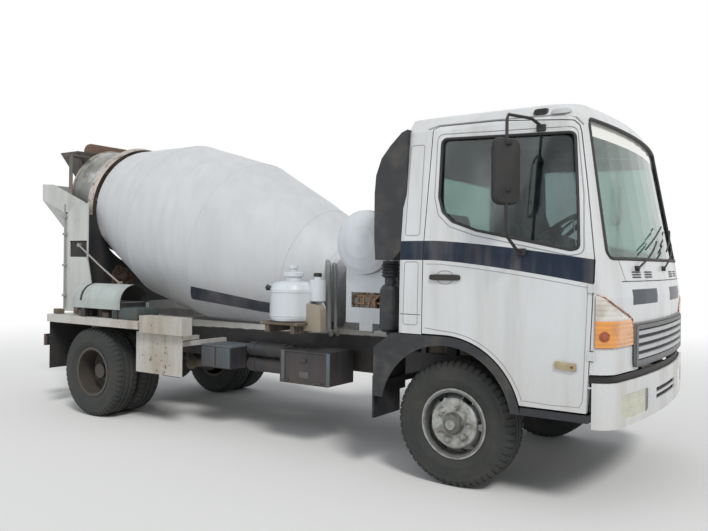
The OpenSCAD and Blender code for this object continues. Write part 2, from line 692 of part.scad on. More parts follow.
// Air intake: a flat duct on the cab's rear corner, over bellows and an air cleaner on the frame
duct_y = [-1030, -830];
duct_foot = 1512;
module air_intake() color("#1d1f22") at_front() difference() {
    side_plate([[40 - cab_back, 2412], [-cab_back - 6, 2395], [-cab_back - 95, 2312], [-cab_back - 168, 2226],
        [-cab_back - 212, 2110], [-cab_back - 223, 1980], [-cab_back - 223, 1700], [-cab_back - 212, duct_foot],
        [-cab_back - 70, duct_foot], [40 - cab_back, 1620]],
        duct_y[0], duct_y[1]);
    cab_form(-run_gap);
}
cleaner = [-530, -925];
module air_cleaner() color("#232527") at_front() {
    translate([cleaner[0], cleaner[1], 1000]) rotate_extrude() polygon([[0, 0], [58, 0], [76, 22], [76, 300], [58, 330],
        [42, 338], [42, 385], [58, 392], [68, 402], [56, 414], [68, 426], [56, 438], [68, 450], [56, 462], [68, 474],
        [58, 488], [58, duct_foot - 1006], [0, duct_foot - 1006]]);
    block([cleaner[0] - 20, cleaner[1] - 20, 975], [cleaner[0] + 20, 30 - rail_y, 1001]);
    block([cleaner[0] - 20, -rail_y, rail_top + run_gap], [cleaner[0] + 20, 30 - rail_y, 976]);
}

// Water tank behind the cab, in a cradle on the sub-frame
tank_x = -930;
tank_z = 1650;
dish = 70;
cradle_y = tank_len / 2 - 60;
module water_tank() color("#dfe2e4") at_front() {
    translate([tank_x, 0, tank_z]) rotate([90, 0, 0]) rotate_extrude($fn = 96)
        polygon([[0, -tank_len / 2 - dish], [tank_r * 0.5, -tank_len / 2 - dish * 0.78],
            [tank_r * 0.85, -tank_len / 2 - dish * 0.34], [tank_r, -tank_len / 2],
            [tank_r, tank_len / 2], [tank_r * 0.85, tank_len / 2 + dish * 0.34],
            [tank_r * 0.5, tank_len / 2 + dish * 0.78], [0, tank_len / 2 + dish]]);
    both_sides() across(cradle_y, cradle_y + 10) difference() {
        polygon([[-1120, 1020], [-1120, 1560], [-690, 1560], [-690, 1260], [-660, 1215], [-690, 1160], [-690, 1020]]);
        translate([-1070, 1140]) square([310, 120]);
        translate([tank_x, tank_z]) circle(r = tank_r - 2);
    }
    block([tank_x - 60, -cradle_y - 10, 1020 - 60], [tank_x + 60, cradle_y + 10, 1020]);
    both_sides() block([tank_x - 60, rail_y - sub_w, sub_top], [tank_x + 60, rail_y, 1020 - 60]);
}

// Vessels on the right: a rounded oil bottle on a shelf and a small canister
bottle = [-1567, -745];
bottle_r = 188;
can = [-1352, -700];
module oil_vessels() color("#e3e5e6") at_front() {
    translate([bottle[0], bottle[1], 1010]) rotate_extrude() polygon([[0, 0], [bottle_r - 30, 0], [bottle_r - 8, 12],
        [bottle_r, 35], [bottle_r, 260], [bottle_r - 14, 295], [bottle_r - 55, 318], [72, 325], [72, 362],
        [86, 366], [86, 392], [60, 400], [30, 402], [30, 425], [42, 430], [42, 452], [0, 458]]);
    block([bottle[0] - 195, bottle[1] - 180, 990], [bottle[0] + 195, bottle[1] + 190, 1010]);
    for (x = [bottle[0] - 150, bottle[0] + 110]) block([x, bottle[1] - 170, sub_top], [x + 40, -rail_y + sub_w, 990]);
    translate([can[0], can[1], 1180]) cylinder(r = 68, h = 170);
    translate([can[0], can[1], 1349]) cylinder(r = 30, h = 30);
    across(can[1] - 6, can[1] + 6) polygon([[-1440, 1011], [-1440, 1120], [-1410, 1181], [-1300, 1181], [-1270, 1120],
        [-1300, 1000], [-1372, 1000], [-1372, 1011]]);
}

// Drum, drawn along its own axis
function wall_inside(rows, t) = [for (i = [len(rows) - 1 : -1 : 0]) [rows[i][0] + (i == 0 ? t : 0), rows[i][1] - t]];
module drum_solid_profile(rows) polygon([for (p = concat(rows, wall_inside(rows, drum_wall))) [p[1], p[0]]]);
hub_r = 170;
module drum() color("#e9e7e6") on_drum(0) {
    rotate_extrude($fn = 96) drum_solid_profile(drum_stations);
    translate([0, 0, drum_stations[0][0]]) cylinder(r = 195, h = drum_wall);
    translate([0, 0, drum_stations[0][0] - 40]) cylinder(r = hub_r, h = 41);
}
// Track ring and the collar bands behind it
function drum_radius(s) = lookup(s, drum_stations);
module drum_ring() color("#3b2f2a") on_drum(ring_s) difference() {
    translate([0, 0, -ring_w / 2]) cylinder(r = ring_r, h = ring_w, $fn = 96);
    translate([0, 0, -ring_w / 2 - 1]) cylinder(r1 = drum_radius(ring_s - ring_w / 2 - 1) + run_gap,
        r2 = drum_radius(ring_s + ring_w / 2 + 1) + run_gap, h = ring_w + 2, $fn = 96);
}

// Drum drive: gearbox and motor in front of the drum
drive_face = drum_stations[0][0] - 40 - run_gap;
plate_s = -330;
plate_t = 20;
gear_r = 150;
module drum_drive() color("#4a4741") on_drum(0) rotate([0, 180, 0]) translate([0, 0, -drive_face]) {
    cylinder(r = hub_r, h = 60);
    translate([0, 0, 60]) cylinder(r = 205, h = -plate_s + drive_face - 60 - run_gap);
    cylinder(r = gear_r, h = 260);
    translate([0, 0, 260]) cylinder(r1 = gear_r, r2 = 85, h = 60);
    translate([0, 0, 319]) cylinder(r = 85, h = 170);
}
// Front pedestal: two side plates and the sloping plate that the gearbox is bolted to
ped_y = 300;
module front_pedestal() color("#dcdcd8") {
    difference() {
        union() {
            at_rear() both_sides() {
                side_plate([[2400, sub_top], [2450, 1000], [2580, 1440], [2700, 1440], [2765, sub_top]], ped_y, ped_y + 14);
                block([2392, ped_y - 10, sub_top], [2770, rail_y, sub_top + 14]);
            }
            on_drum(plate_s) translate([-250, -ped_y - 2, -plate_t]) cube([520, 2 * ped_y + 4, plate_t]);
        }
        on_drum(plate_s - plate_t - 1) cylinder(r = gear_r + run_gap, h = plate_t + 2);
        at_rear() block([2000, -500, sub_top - 400], [3100, 500, sub_top]);
    }
}

// Rear pedestal: base beam and two tall side plates
rear_ped_y = 690;
ped_front = -555;
ped_rear = -940;
deck_tail = 670;
module rear_pedestal() color("#dcdcd8") at_rear() {
    block([ped_rear, -rear_ped_y - 12, deck_top], [ped_front + 110, rear_ped_y + 12, deck_top + 100]);
    both_sides() across(rear_ped_y, rear_ped_y + 12) difference() {
        polygon([[ped_rear, deck_top + 99], [ped_rear, 1960], [ped_rear + 120, 2040], [ped_front, 2080],
            [ped_front, 1500], [ped_front + 110, deck_top + 99]]);
        translate([ped_rear + 80, 1520]) square([290, 170]);
    }
    swivel_arm();
}
// Arm and socket behind the pedestal that hold the chute's post
chute_x = -1345;
post_r = 30;
module swivel_arm() difference() {
    union() {
        block([chute_x, -55, deck_top], [ped_rear + 1, 55, deck_top + 80]);
        translate([chute_x, 0, deck_top]) cylinder(r = 60, h = yoke_z - yoke_t - run_gap - deck_top);
    }
    translate([chute_x, 0, deck_top - 1]) cylinder(r = post_r + run_gap, h = 400);
}

// Roller positions round the drum's axis
roller_angle = 35;
roller_w = 80;
roller_pin_r = 20;
roller_reach = ring_r + roller_r + run_gap;
module at_roller(side) on_drum(ring_s)
    translate([-roller_reach * cos(roller_angle), side * roller_reach * sin(roller_angle), 0])
        rotate([0, 0, 180]) children();
module roller(side) color("#5b5450") at_roller(side) {
    translate([0, 0, -roller_w / 2]) cylinder(r = roller_r, h = roller_w);
    translate([0, 0, -roller_w / 2 - 45]) cylinder(r = roller_pin_r, h = roller_w + 90);
}
module roller_left() roller(1);
module roller_right() roller(-1);
// Dark beam between the pedestal's plates, with the roller forks and the splash sheet
beam_low = 1330;
module roller_beam() color("#2a2b2d") {
    difference() {
        union() {
            at_rear() block([ped_rear + 5, -rear_ped_y, beam_low], [-640, rear_ped_y, beam_low + 70]);
            for (side = [-1, 1], end = [-1, 1]) at_roller(side)
                translate([-34, -40, end > 0 ? roller_w / 2 + 8 : -roller_w / 2 - 24]) cube([300, 80, 16]);
        }
        for (side = [-1, 1]) at_roller(side) translate([0, 0, -200]) cylinder(r = roller_pin_r + run_gap, h = 400);
        at_rear() block([-1100, -800, beam_low - 300], [-300, 800, beam_low]);
    }
    at_rear() difference() {
        front_plate([[-rear_ped_y + 1, deck_top + 100], [rear_ped_y - 1, deck_top + 100], [rear_ped_y - 1, sheet_top],
            [1 - rear_ped_y, sheet_top]], sheet_x, sheet_x + 6);
        x_rod(0, 2036, 606, sheet_x - 1, sheet_x + 7);
    }
    at_rear() block([-641, -rear_ped_y, beam_low], [sheet_x + 1, rear_ped_y, beam_low + 12]);
}
// Splash sheet across the pedestal, cut out round the drum
sheet_x = -566;
sheet_top = 1960;

// Charging hopper above the drum's mouth, with a rounded hood over its front half
hopper_top = 2700;
hopper_low = 2360;
module hopper_solid(t) hull() {
    at_rear() translate([0, 0, hopper_top]) linear_extrude(1)
        polygon([[-1465 + t, -420 + t], [-1140 - t, -420 + t], [-1140 - t, 420 - t], [-1465 + t, 420 - t]]);
    at_rear() translate([0, 0, hopper_low]) linear_extrude(1)
        polygon([[-1420 + t, -190 + t], [-1240 - t, -190 + t], [-1240 - t, 190 - t], [-1420 + t, 190 - t]]);
}
module hood_profile(t) polygon([[-1272 + t, hopper_top - 2], [-1270 + t, hopper_top + 45 - t / 2],
    [-1250 + t / 2, hopper_top + 80 - t], [-1215, hopper_top + 100 - t], [-1150 - t, hopper_top + 106 - t],
    [-1140 - t, hopper_top + 98 - t], [-1140 - t, hopper_top - 2]]);
module charge_hopper() color("#4c4a48") {
    difference() {
        hopper_solid(0);
        translate([0, 0, 0.6]) hopper_solid(6);
        translate([0, 0, -0.6]) hopper_solid(6);
    }
    leg_y = guard_side_y - run_gap;
    leg_top = hopper_top - 64;
    at_rear() {
        difference() {
            across(-hood_y, hood_y) hood_profile(0);
            translate([0, 0, -1]) across(6 - hood_y, hood_y - 6) hood_profile(6);
        }
        both_sides() {
            across(leg_y - 6, leg_y) polygon([[-1075, 2100], [-1015, 2100], [-1015, leg_top], [-1075, leg_top]]);
            block([-1185, 350, leg_top - 14], [-1015, leg_y, leg_top]);
            across(hopper_foot_y - 6, hopper_foot_y)
                polygon([[-1401, hopper_low + 2], [-1240, hopper_low + 2], [tongue_x, 2305], [tongue_x, 2245],
                    [-1401, hopper_low - 15]]);
        }
        across(-hopper_foot_y, hopper_foot_y)
            polygon([[-1401, hopper_low - 15], [-1401, hopper_low + 2], [-1395, hopper_low + 2],
                [-1395, hopper_low - 11], [tongue_x, 2251], [tongue_x, 2245]]);
    }
}
// Half width of the hood, half width of the hopper's foot, and where its tongue ends inside the drum's mouth
hood_y = 250;
hopper_foot_y = 170;
tongue_x = -1130;

// Discharge funnel: side guards round the mouth and a spout down to the chute
guard_side_y = 574;
guard_wall = 6;
funnel_rear_z = 2160;
funnel_front_z = 2010;
funnel_front = -1140;
funnel_top = 2335;
throat_z = 1620;
module discharge_funnel() color("#dfdfdc") at_rear() {
    side = guard_side_y + guard_wall;
    both_sides() across(guard_side_y, side)
        polygon([[-770, 2100], [-1340, 2320], [1 - rear_overhang, funnel_top], [1 - rear_overhang, funnel_rear_z - 2],
            [funnel_front, funnel_front_z - 2], [-900, funnel_front_z], [-860, 1985], [-770, 1985]]);
    difference() {
        spout(0, 0);
        spout(guard_wall, 0.5);
        spout(guard_wall, -0.5);
        translate([-rear_x, 0, 0]) on_drum(mouth_s - 700) cylinder(r = mouth_r + 75, h = 725);
    }
    block([-rear_overhang, -side, funnel_rear_z - 2], [guard_wall - rear_overhang, side, funnel_top]);
    both_sides() block([-815, guard_side_y + 1, 1990], [-785, rear_ped_y - run_gap, 2030]);
}
module spout(inset, lift) {
    side = guard_side_y + guard_wall - inset;
    hull() {
        block([inset - rear_overhang, -side, funnel_rear_z - 1 + lift], [inset + 2 - rear_overhang, side, funnel_rear_z + lift]);
        block([funnel_front - inset - 2, -side, funnel_front_z - 1 + lift], [funnel_front - inset, side, funnel_front_z + lift]);
        translate([0, 0, throat_z + lift]) linear_extrude(1) polygon([[chute_x - 140 + inset, inset - 140],
            [chute_x + 140 - inset, inset - 140], [chute_x + 140 - inset, 140 - inset], [chute_x - 140 + inset, 140 - inset]]);
    }
}

// Main chute on its post, parked across the rear towards the left
pivot_z = 1350;
yoke_z = 1050;
yoke_t = 14;
cheek = chute_r + 6;
pin_r = 15;
parked_slope = 12;
module at_post() at_rear() translate([chute_x, 0, 0]) rotate(90) children();
module chute_swivel() color("#5a5d60") at_post() {
    difference() {
        union() {
            both_sides() block([-60, cheek, yoke_z], [60, cheek + 12, pivot_z + 40]);
            block([-60, -cheek - 12, yoke_z - yoke_t], [60, cheek + 12, yoke_z]);
        }
        y_rod(0, pivot_z, pin_r + run_gap, -cheek - 20, cheek + 20);
    }
    translate([0, 0, deck_top + 2]) cylinder(r = post_r, h = yoke_z - deck_top - 3);
}
module trough(r, length, wall) difference() {
    rotate([0, 90, 0]) cylinder(r = r, h = length);
    translate([-1, 0, 0]) rotate([0, 90, 0]) cylinder(r = r - wall, h = length + 2);
    block([-1, -r - 1, 0], [length + 1, r + 1, r + 1]);
}
chute_tail = -170;
module main_chute() color("#7b7d7c") at_post() translate([0, 0, pivot_z]) rotate([0, parked_slope, 0]) {
    translate([chute_tail, 0, 0]) trough(chute_r, chute_len, chute_wall);
    both_sides() y_rod(0, 0, pin_r, chute_r - chute_wall / 2, cheek + 14);
}

// Spare chute, upside down on two bearers on the right-hand deck
spare_at = [440, -900];
bearer_h = 150;
module spare_chute() color("#c3c4c0") at_rear() {
    translate([spare_at[0], spare_at[1], deck_top + bearer_h + run_gap])
        rotate([180, 0, 180]) trough(spare_r, spare_len, chute_wall);
    for (x = [spare_at[0] - 100, spare_at[0] - spare_len + 140])
        block([x, spare_at[1] - spare_r, deck_top], [x + 60, spare_at[1] + spare_r + 5, deck_top + bearer_h]);
}

// Rear deck over the twin wheels, both sides
deck_nose = 700;
deck_edge = 75;
module rear_deck() color("#d8d9d6") at_rear() both_sides() {
    block([-deck_tail, rail_y - sub_w, sub_top], [deck_nose, cab_half_w, deck_top]);
    block([-deck_tail, cab_half_w - 8, deck_top - deck_edge], [deck_nose, cab_half_w, deck_top]);
    for (x = [8 - deck_tail, deck_nose - 48])
        block([x, rail_y + run_gap, deck_top - deck_edge], [x + 40, cab_half_w - 8, sub_top]);
    block([-deck_tail + 2, 560, 400], [-deck_tail + 8, 1050, deck_top - deck_edge + 1]);
}

// Boxes, tanks and skirts along the rails
module side_tanks() color("#45474a") {
    // Right-hand battery box, framed box and air tanks
    at_front() {
        block([-2550, -800, 560], [-2200, -500, 745]);
        block([-2450, -501, 620], [-2410, -rail_y - run_gap, 700]);
        block([-1610, -850, 525], [-1130, -500, 790]);
        block([-1400, -501, 620], [-1360, -rail_y - run_gap, 700]);
        for (z = [600, 730]) x_rod(-600, z, 62, -2140, -1660);
        block([-1920, -600, 590], [-1880, -rail_y - run_gap, 740]);
    }
    // Left-hand fuel tank and silencer
    at_front() {
        difference() {
            block([-2560, 500, 450], [-1560, 930, 840]);
            block([-2570, 860, 440], [-1550, 940, 520]);
        }
        for (x = [-2400, -1740]) block([x, rail_y + run_gap, 640], [x + 50, 501, 740]);
        x_rod(610, 640, 120, -1430, -900);
        block([-1200, rail_y + run_gap, 600], [-1150, 500, 680]);
    }
}
// White boxes and skirts ahead of the rear deck
module side_skirts() color("#d8d9d6") at_rear() both_sides() {
    block([deck_nose + run_gap, 940, deck_top - 100], [1250, 1060, deck_top + 50]);
    block([600, 1000, 480], [1200, 1006, deck_top - 100]);
    for (x = [760, 1120]) block([x, rail_y + run_gap, rail_top - 60], [x + 40, 1001, rail_top - 20]);
    for (x = [760, 1120]) block([x, 960, rail_top - 60], [x + 40, 1001, deck_top - 99]);
}

// Rear lamps on a bar across the rails' tails
module rear_lamps() color("#a03028") at_rear() {
    block([-rail_tail - 46, -900, 600], [-rail_tail - run_gap, 900, 690]);
    both_sides() block([-rail_tail - 76, 560, 590], [-rail_tail - 45, 890, 710]);
}

chassis_rails();
crossmembers();
sub_frame();
front_axle();
rear_axle();
engine();
drive_line();
knuckle_left();
knuckle_right();
tie_rod();
rim_front_left();
rim_front_right();
rim_rear_left();
rim_rear_right();
tyre_front_left();
tyre_front_right();
tyre_rear_left();
tyre_rear_right();
bumper();
headlamps();
corner_lamps();
mudguards();
cab_steps();
cab_shell();
cab_floor();
cab_glass();
door_left();
door_right();
door_glass_left();
door_glass_right();
mirror_left();
mirror_right();
seats();
dashboard();
grille();
air_intake();
air_cleaner();
water_tank();
oil_vessels();
front_pedestal();
drum_drive();
drum();
drum_ring();
rear_pedestal();
roller_beam();
roller_left();
roller_right();
charge_hopper();
discharge_funnel();
chute_swivel();
main_chute();
spare_chute();
rear_deck();
side_tanks();
side_skirts();
rear_lamps();
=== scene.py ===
import bpy
import bmesh
import random
from math import acos, copysign, cos, exp, pi, radians, sin, sqrt, tan
from mathutils import Matrix, Vector


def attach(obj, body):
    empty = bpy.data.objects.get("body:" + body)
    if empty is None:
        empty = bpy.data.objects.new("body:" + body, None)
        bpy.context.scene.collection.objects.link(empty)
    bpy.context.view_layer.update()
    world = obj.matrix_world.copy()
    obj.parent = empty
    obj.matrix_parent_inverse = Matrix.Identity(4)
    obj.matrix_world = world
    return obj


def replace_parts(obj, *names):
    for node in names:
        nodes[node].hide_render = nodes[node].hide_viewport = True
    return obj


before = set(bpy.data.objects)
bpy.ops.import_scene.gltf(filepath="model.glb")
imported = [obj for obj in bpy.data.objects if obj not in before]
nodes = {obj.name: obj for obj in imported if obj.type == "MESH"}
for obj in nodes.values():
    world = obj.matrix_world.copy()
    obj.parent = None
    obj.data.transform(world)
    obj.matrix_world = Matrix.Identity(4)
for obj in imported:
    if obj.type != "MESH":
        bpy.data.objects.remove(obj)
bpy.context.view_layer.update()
random.seed(7)

FX = 2.09                                  # X of the front axle
RX = -1.69                                 # X of the rear axle
AXLE_Z = 0.421
FRONT_Y = 0.873                            # middle of a front tyre
REAR_Y, TWIN = 0.8, 0.134                  # middle of a rear pair, and half the space between its tyres
TILT = radians(16)                         # of the drum
DRUM = Vector((RX + 2.263, 0, 1.308))      # front end of the drum's cone, on its axis
AXIS = Vector((-cos(TILT), 0, sin(TILT)))  # of the drum, rearwards and up
SIDES = (("left", 1), ("right", -1))
PHOTO_WIDTH, FOCAL, SENSOR = 708, 723.251, 36   # pixels, pixels, millimetres
FLOOR_R, FADE = 120, (4.5, 13)             # the floor turns white between these distances
VOXEL, PUFF, CLOTH_FRAMES = 0.013, 0.01, 20     # cushions: remesh size, how far the cloth moves them, its steps


# ---- node trees
def operator(kind):
    return lambda a, b=0.0: a.tree.math(kind, a, b)


class Value:
    """A shader socket that is added, subtracted and multiplied like a number."""

    def __init__(self, tree, socket):
        self.tree, self.socket = tree, socket

    __add__, __sub__, __mul__ = operator("ADD"), operator("SUBTRACT"), operator("MULTIPLY")
    __pow__, __abs__ = operator("POWER"), operator("ABSOLUTE")

    def __rsub__(self, other):
        return self.tree.math("SUBTRACT", other, self)


class Tree:
    """A node tree that starts empty."""

    def __init__(self, tree):
        self.tree = tree
        tree.nodes.clear()

    def put(self, socket, value):
        if isinstance(value, Value):
            self.tree.links.new(value.socket, socket)
        elif isinstance(value, tuple) and len(value) == 3 and len(socket.default_value) == 4:
            socket.default_value = (*value, 1)
        else:
            socket.default_value = value

    def add(self, kind, inputs=None, **props):
        """A new node with these inputs."""
        node = self.tree.nodes.new("ShaderNode" + kind)
        for key, value in props.items():
            setattr(node, key, value)
        for key, value in (inputs or {}).items():
            self.put(node.inputs[key], value)
        return node

    def get(self, kind, inputs=None, out=0, **props):
        """One output of a new node."""
        return Value(self, self.add(kind, inputs, **props).outputs[out])

    def math(self, kind, a, b=0.0):
        return self.get("Math", {0: a, 1: b}, operation=kind)

    def span(self, value, low, high):
        """0 at low and 1 at high, smooth in between."""
        return self.get("MapRange", {0: value, 1: low, 2: high}, interpolation_type="SMOOTHSTEP")

    def direct(self):
        """1 for camera, glossy and transmission rays, else 0."""
        rays = self.add("LightPath").outputs
        camera, glossy, clear = (Value(self, rays["Is %s Ray" % kind])
                                 for kind in ("Camera", "Glossy", "Transmission"))
        return self.math("MAXIMUM", self.math("MAXIMUM", camera, glossy), clear)


class Shader(Tree):
    """A material around one Principled node."""

    def __init__(self, name, metal=0.0):
        self.mat = bpy.data.materials.new(name)
        self.mat.use_nodes = True
        super().__init__(self.mat.node_tree)
        self.bsdf = self.add("BsdfPrincipled", {"Metallic": metal})
        self.add("OutputMaterial", {0: Value(self, self.bsdf.outputs[0])})
        self.place = self.get("TexCoord", out="Object")
        axes = self.add("SeparateXYZ", {0: self.place}).outputs
        self.x, self.y, self.z = (Value(self, socket) for socket in axes)

    def inside(self, value, low, high, soft=0.001):
        """1 between low and high."""
        return self.span(value, low - soft, low + soft) * self.span(value, high + soft, high - soft)

    def length(self, a, b):
        return self.math("SQRT", a * a + b * b)

    def noise(self, scale, detail=4.0, rough=0.55, stretch=(1, 1, 1), shift=0.0):
        place = self.get("Mapping", {"Vector": self.place, "Location": (shift, shift * 0.7, -shift), "Scale": stretch})
        return self.get("TexNoise", {"Vector": place, "Scale": scale, "Detail": detail, "Roughness": rough})

    def mix(self, fac, a, b):
        """Between two colours."""
        return self.get("Mix", {0: fac, 6: a, 7: b}, 2, data_type="RGBA")

    def blend(self, fac, a, b):
        """Between two numbers."""
        return self.get("Mix", {0: fac, 2: a, 3: b}, data_type="FLOAT")

    def bump(self, height, distance, strength):
        normal = self.get("Bump", {"Height": height, "Distance": distance, "Strength": strength})
        self.put(self.bsdf.inputs["Normal"], normal)

    def finish(self, colour, rough, **more):
        """The material; Coat_Weight=0.8 sets the input "Coat Weight"."""
        for key, value in {"Base_Color": colour, "Roughness": rough, **more}.items():
            self.put(self.bsdf.inputs[key.replace("_", " ")], value)
        return self.mat


# ---- camera, light, stage
def link(name, data):
    obj = bpy.data.objects.new(name, data)
    bpy.context.scene.collection.objects.link(obj)
    return obj


def make_camera():
    yaw, pitch, roll = (radians(a) for a in (34.143, -0.14, 0.695))
    look = Vector((-sin(yaw) * cos(pitch), cos(yaw) * cos(pitch), sin(pitch)))
    right = Vector((cos(yaw), sin(yaw), 0))
    up = right.cross(look)
    c, s = cos(roll), sin(roll)
    right, up = c * right + s * up, c * up - s * right
    data = bpy.data.cameras.new("camera")
    data.sensor_width = SENSOR
    data.lens = FOCAL / PHOTO_WIDTH * SENSOR
    data.clip_end = 300
    camera = link("camera", data)
    rotation = Matrix((right, up, -look)).transposed().to_4x4()
    camera.matrix_world = Matrix.Translation((FX + 2.154, -5.352, 1.483)) @ rotation
    bpy.context.scene.camera = camera


def make_world():
    world = bpy.data.worlds.new("studio")
    world.use_nodes = True
    tree = Tree(world.node_tree)
    soft = tree.get("Background", {0: (0.93, 0.96, 1.0), 1: 0.52})
    white = tree.get("Background", {0: (1, 1, 1), 1: 1})
    tree.add("OutputWorld", {0: tree.get("MixShader", {0: tree.direct(), 1: soft, 2: white})})
    bpy.context.scene.world = world
    for name, power, size, place, colour in (
            ("key", 1.75, 14, (7, -5.5, 9), (1.0, 0.98, 0.95)),
            ("fill", 0.35, 40, (-7, -8, 5), (0.93, 0.96, 1.0))):
        data = bpy.data.lights.new(name, "SUN")
        data.energy = power
        data.angle = radians(size)
        data.color = colour
        link(name, data).rotation_euler = Vector(place).to_track_quat("Z", "Y").to_euler()


def make_stage():
    """A pale floor that fades to the white background."""
    mesh = bpy.data.meshes.new("floor")
    mesh.from_pydata([(FLOOR_R * cos(a), FLOOR_R * sin(a), 0) for a in turns(48)], [], [tuple(range(48))])
    floor = link("floor", mesh)
    mat = bpy.data.materials.new("floor")
    mat.use_nodes = True
    tree = Tree(mat.node_tree)
    far = tree.get("VectorMath", {0: tree.get("TexCoord", out="Object")}, "Value", operation="LENGTH")
    fade = tree.span(far, *FADE) * tree.direct()
    pale = tree.get("BsdfDiffuse", {0: (0.8, 0.8, 0.79)})
    tree.add("OutputMaterial", {0: tree.get("MixShader", {0: fade, 1: pale, 2: tree.get("Emission")})})
    mesh.materials.append(mat)


# ---- materials
def lin(colour):
    """Linear colour from the value as it looks on screen."""
    return tuple(c / 12.92 if c <= 0.04045 else ((c + 0.055) / 1.055) ** 2.4 for c in colour)


def darker(colour, share):
    return tuple(c * share for c in colour)


DUST = lin((0.62, 0.58, 0.52))
MUD = lin((0.34, 0.31, 0.28))
RUST = lin((0.42, 0.25, 0.16))
NAVY = lin((0.135, 0.18, 0.25))


def weather(s, colour, gloss, dirt=0.5, rust=0.0, low=0.5, high=1.3, dust=DUST, pores=0.0004):
    """Paint with tone changes, dust that thickens towards the ground, streaks, rust spots and fine bump."""
    broad = s.noise(1.7, 5)
    streak = s.noise(7, 5, 0.6, (1, 1, 0.1), 3.1)
    grain = s.noise(60, 3, 0.6)
    if isinstance(colour, tuple):
        shade = s.mix(s.span(broad, 0.3, 0.7), darker(colour, 0.9), colour)
    else:
        shade = s.mix(s.span(broad, 0.7, 0.3) * 0.1, colour, (0.02, 0.02, 0.02))
    ground = s.span(s.z, high, low) * s.span(broad + grain * 0.5, 0.35, 1.0)
    film = s.math("MINIMUM", s.span(streak + broad * 0.5, 0.62, 1.0) * dirt + ground * dirt, 0.92)
    shade = s.mix(film, shade, dust)
    rough = s.blend(film, gloss, 0.85)
    height = grain + film * 0.6
    if rust:
        speck = s.noise(26, 4, 0.7, shift=9.0)
        spots = s.span(speck * 0.75 + broad * 0.45, 0.8 - 0.25 * rust, 0.88 - 0.18 * rust)
        shade = s.mix(spots, shade, s.mix(grain, RUST, darker(RUST, 0.45)))
        rough = s.blend(spots, rough, 0.9)
        height = height + spots * 0.8
    s.bump(height, pores, 0.7)
    return shade, rough


def painted(name, colour, gloss=0.35, metal=0.0, **how):
    s = Shader(name, metal)
    return s.finish(*weather(s, lin(colour), gloss, **how))


def cab_paint(name):
    """White cab paint with the navy waist stripe and the band on the nose."""
    s = Shader(name)
    x = s.x - FX
    fall = s.math("MAXIMUM", (x + 0.12) * 0.94, 0.0) ** 1.35
    height = s.z + fall * 0.118
    side = s.span(abs(s.y), 0.93, 0.94) * s.span(x, 0.9475, 0.9465)
    stripe = s.span(height + fall * 0.016, 1.512, 1.514) * s.span(height, 1.644, 1.642) * side
    nose = s.inside(s.z, 1.25, 1.345) * s.span(x, 1.0, 1.01) * s.inside(abs(s.y), 0.2, 0.72)
    navy = s.math("MAXIMUM", stripe, nose)
    colour = s.mix(navy, lin((0.85, 0.86, 0.865)), NAVY)
    colour, rough = weather(s, colour, 0.28, dirt=0.28, low=0.6, high=1.15, pores=0.0002)
    return s.finish(colour, rough, Specular_IOR_Level=s.blend(navy, 0.5, 0.12), Coat_Weight=0.05, Coat_Roughness=0.15)


def drum_axes(s):
    """Distance along the drum's axis, and across it in the upright plane."""
    dx, dz = s.x - DRUM.x, s.z - DRUM.z
    return dx * -cos(TILT) + dz * sin(TILT), dx * sin(TILT) + dz * cos(TILT)


def drum_paint(name, inside=False):
    """White drum paint, a navy band low on each flank; dirt on the rear cone, cement crust at the mouth and inside."""
    s = Shader(name)
    along, up = drum_axes(s)
    angle = s.math("ARCTAN2", up, abs(s.y))
    flank = s.inside(angle, radians(-41), radians(-29.5), 0.002)
    colour = s.mix(flank * s.inside(along + angle * 0.25, 0.2, 1.09), lin((0.8, 0.812, 0.824)), NAVY)
    colour, rough = weather(s, colour, 0.42, dirt=0.2, low=0.8, high=1.6, dust=lin((0.64, 0.61, 0.6)), pores=0.0005)
    rear = s.span(along, 2.9, 3.12) * s.span(s.noise(5, 5, 0.6, shift=2.0), 0.2, 0.5)
    colour = s.mix(rear * 0.85, colour, lin((0.46, 0.47, 0.44)))
    colour = s.mix(s.span(along, 3.542, 3.546), colour, lin((0.62, 0.6, 0.55)))
    crust = s.span(along, 2.7, 3.6) * s.span(s.noise(9, 5, 0.65, shift=4.0), 0.5, 0.66) * 0.7
    lime = s.mix(s.noise(30, 4), lin((0.36, 0.3, 0.26)), lin((0.58, 0.53, 0.49)))
    if inside:
        return s.finish(s.mix(s.span(s.noise(4, 5), 0.35, 0.6), lime, lin((0.24, 0.2, 0.18))), 0.92)
    return s.finish(s.mix(crust, colour, lime), s.blend(crust, rough, 0.95))


def beam_paint(name):
    """The white sub-frame: white along its upper edge, near black below a slanted line under it."""
    s = Shader(name)
    white, rough = weather(s, lin((0.8, 0.8, 0.785)), 0.5, dirt=0.4, rust=0.2, low=0.7, high=1.3)
    edge = s.z + s.noise(10, 4, 0.6) * 0.02 + (s.x - (FX - 2.4)) * -0.018
    side = s.span(edge, 0.889, 0.881) * s.span(s.z, 0.9245, 0.9235)
    dark = s.mix(s.noise(12, 5, 0.6), lin((0.1, 0.11, 0.13)), lin((0.22, 0.21, 0.2)))
    return s.finish(s.mix(side, white, dark), rough)


def ring_steel(name):
    """The track ring: a bright running face; dark sides, rusty and darkened as painted shade."""
    s = Shader(name, 0.5)
    radius = s.length(drum_axes(s)[1], s.y)
    # The dark brown base is rust plus painted shade on the ring's sides
    shade, rough = weather(s, lin((0.25, 0.2, 0.18)), 0.7, dirt=0.35, rust=0.8, low=0.3, high=3.5, pores=0.0008)
    worn = s.span(radius, 0.5965, 0.5995) * s.span(s.noise(11, 4, 0.6, (1, 0.3, 1)), 0.28, 0.5)
    return s.finish(s.mix(worn, shade, lin((0.7, 0.67, 0.64))), s.blend(worn, rough, 0.45))


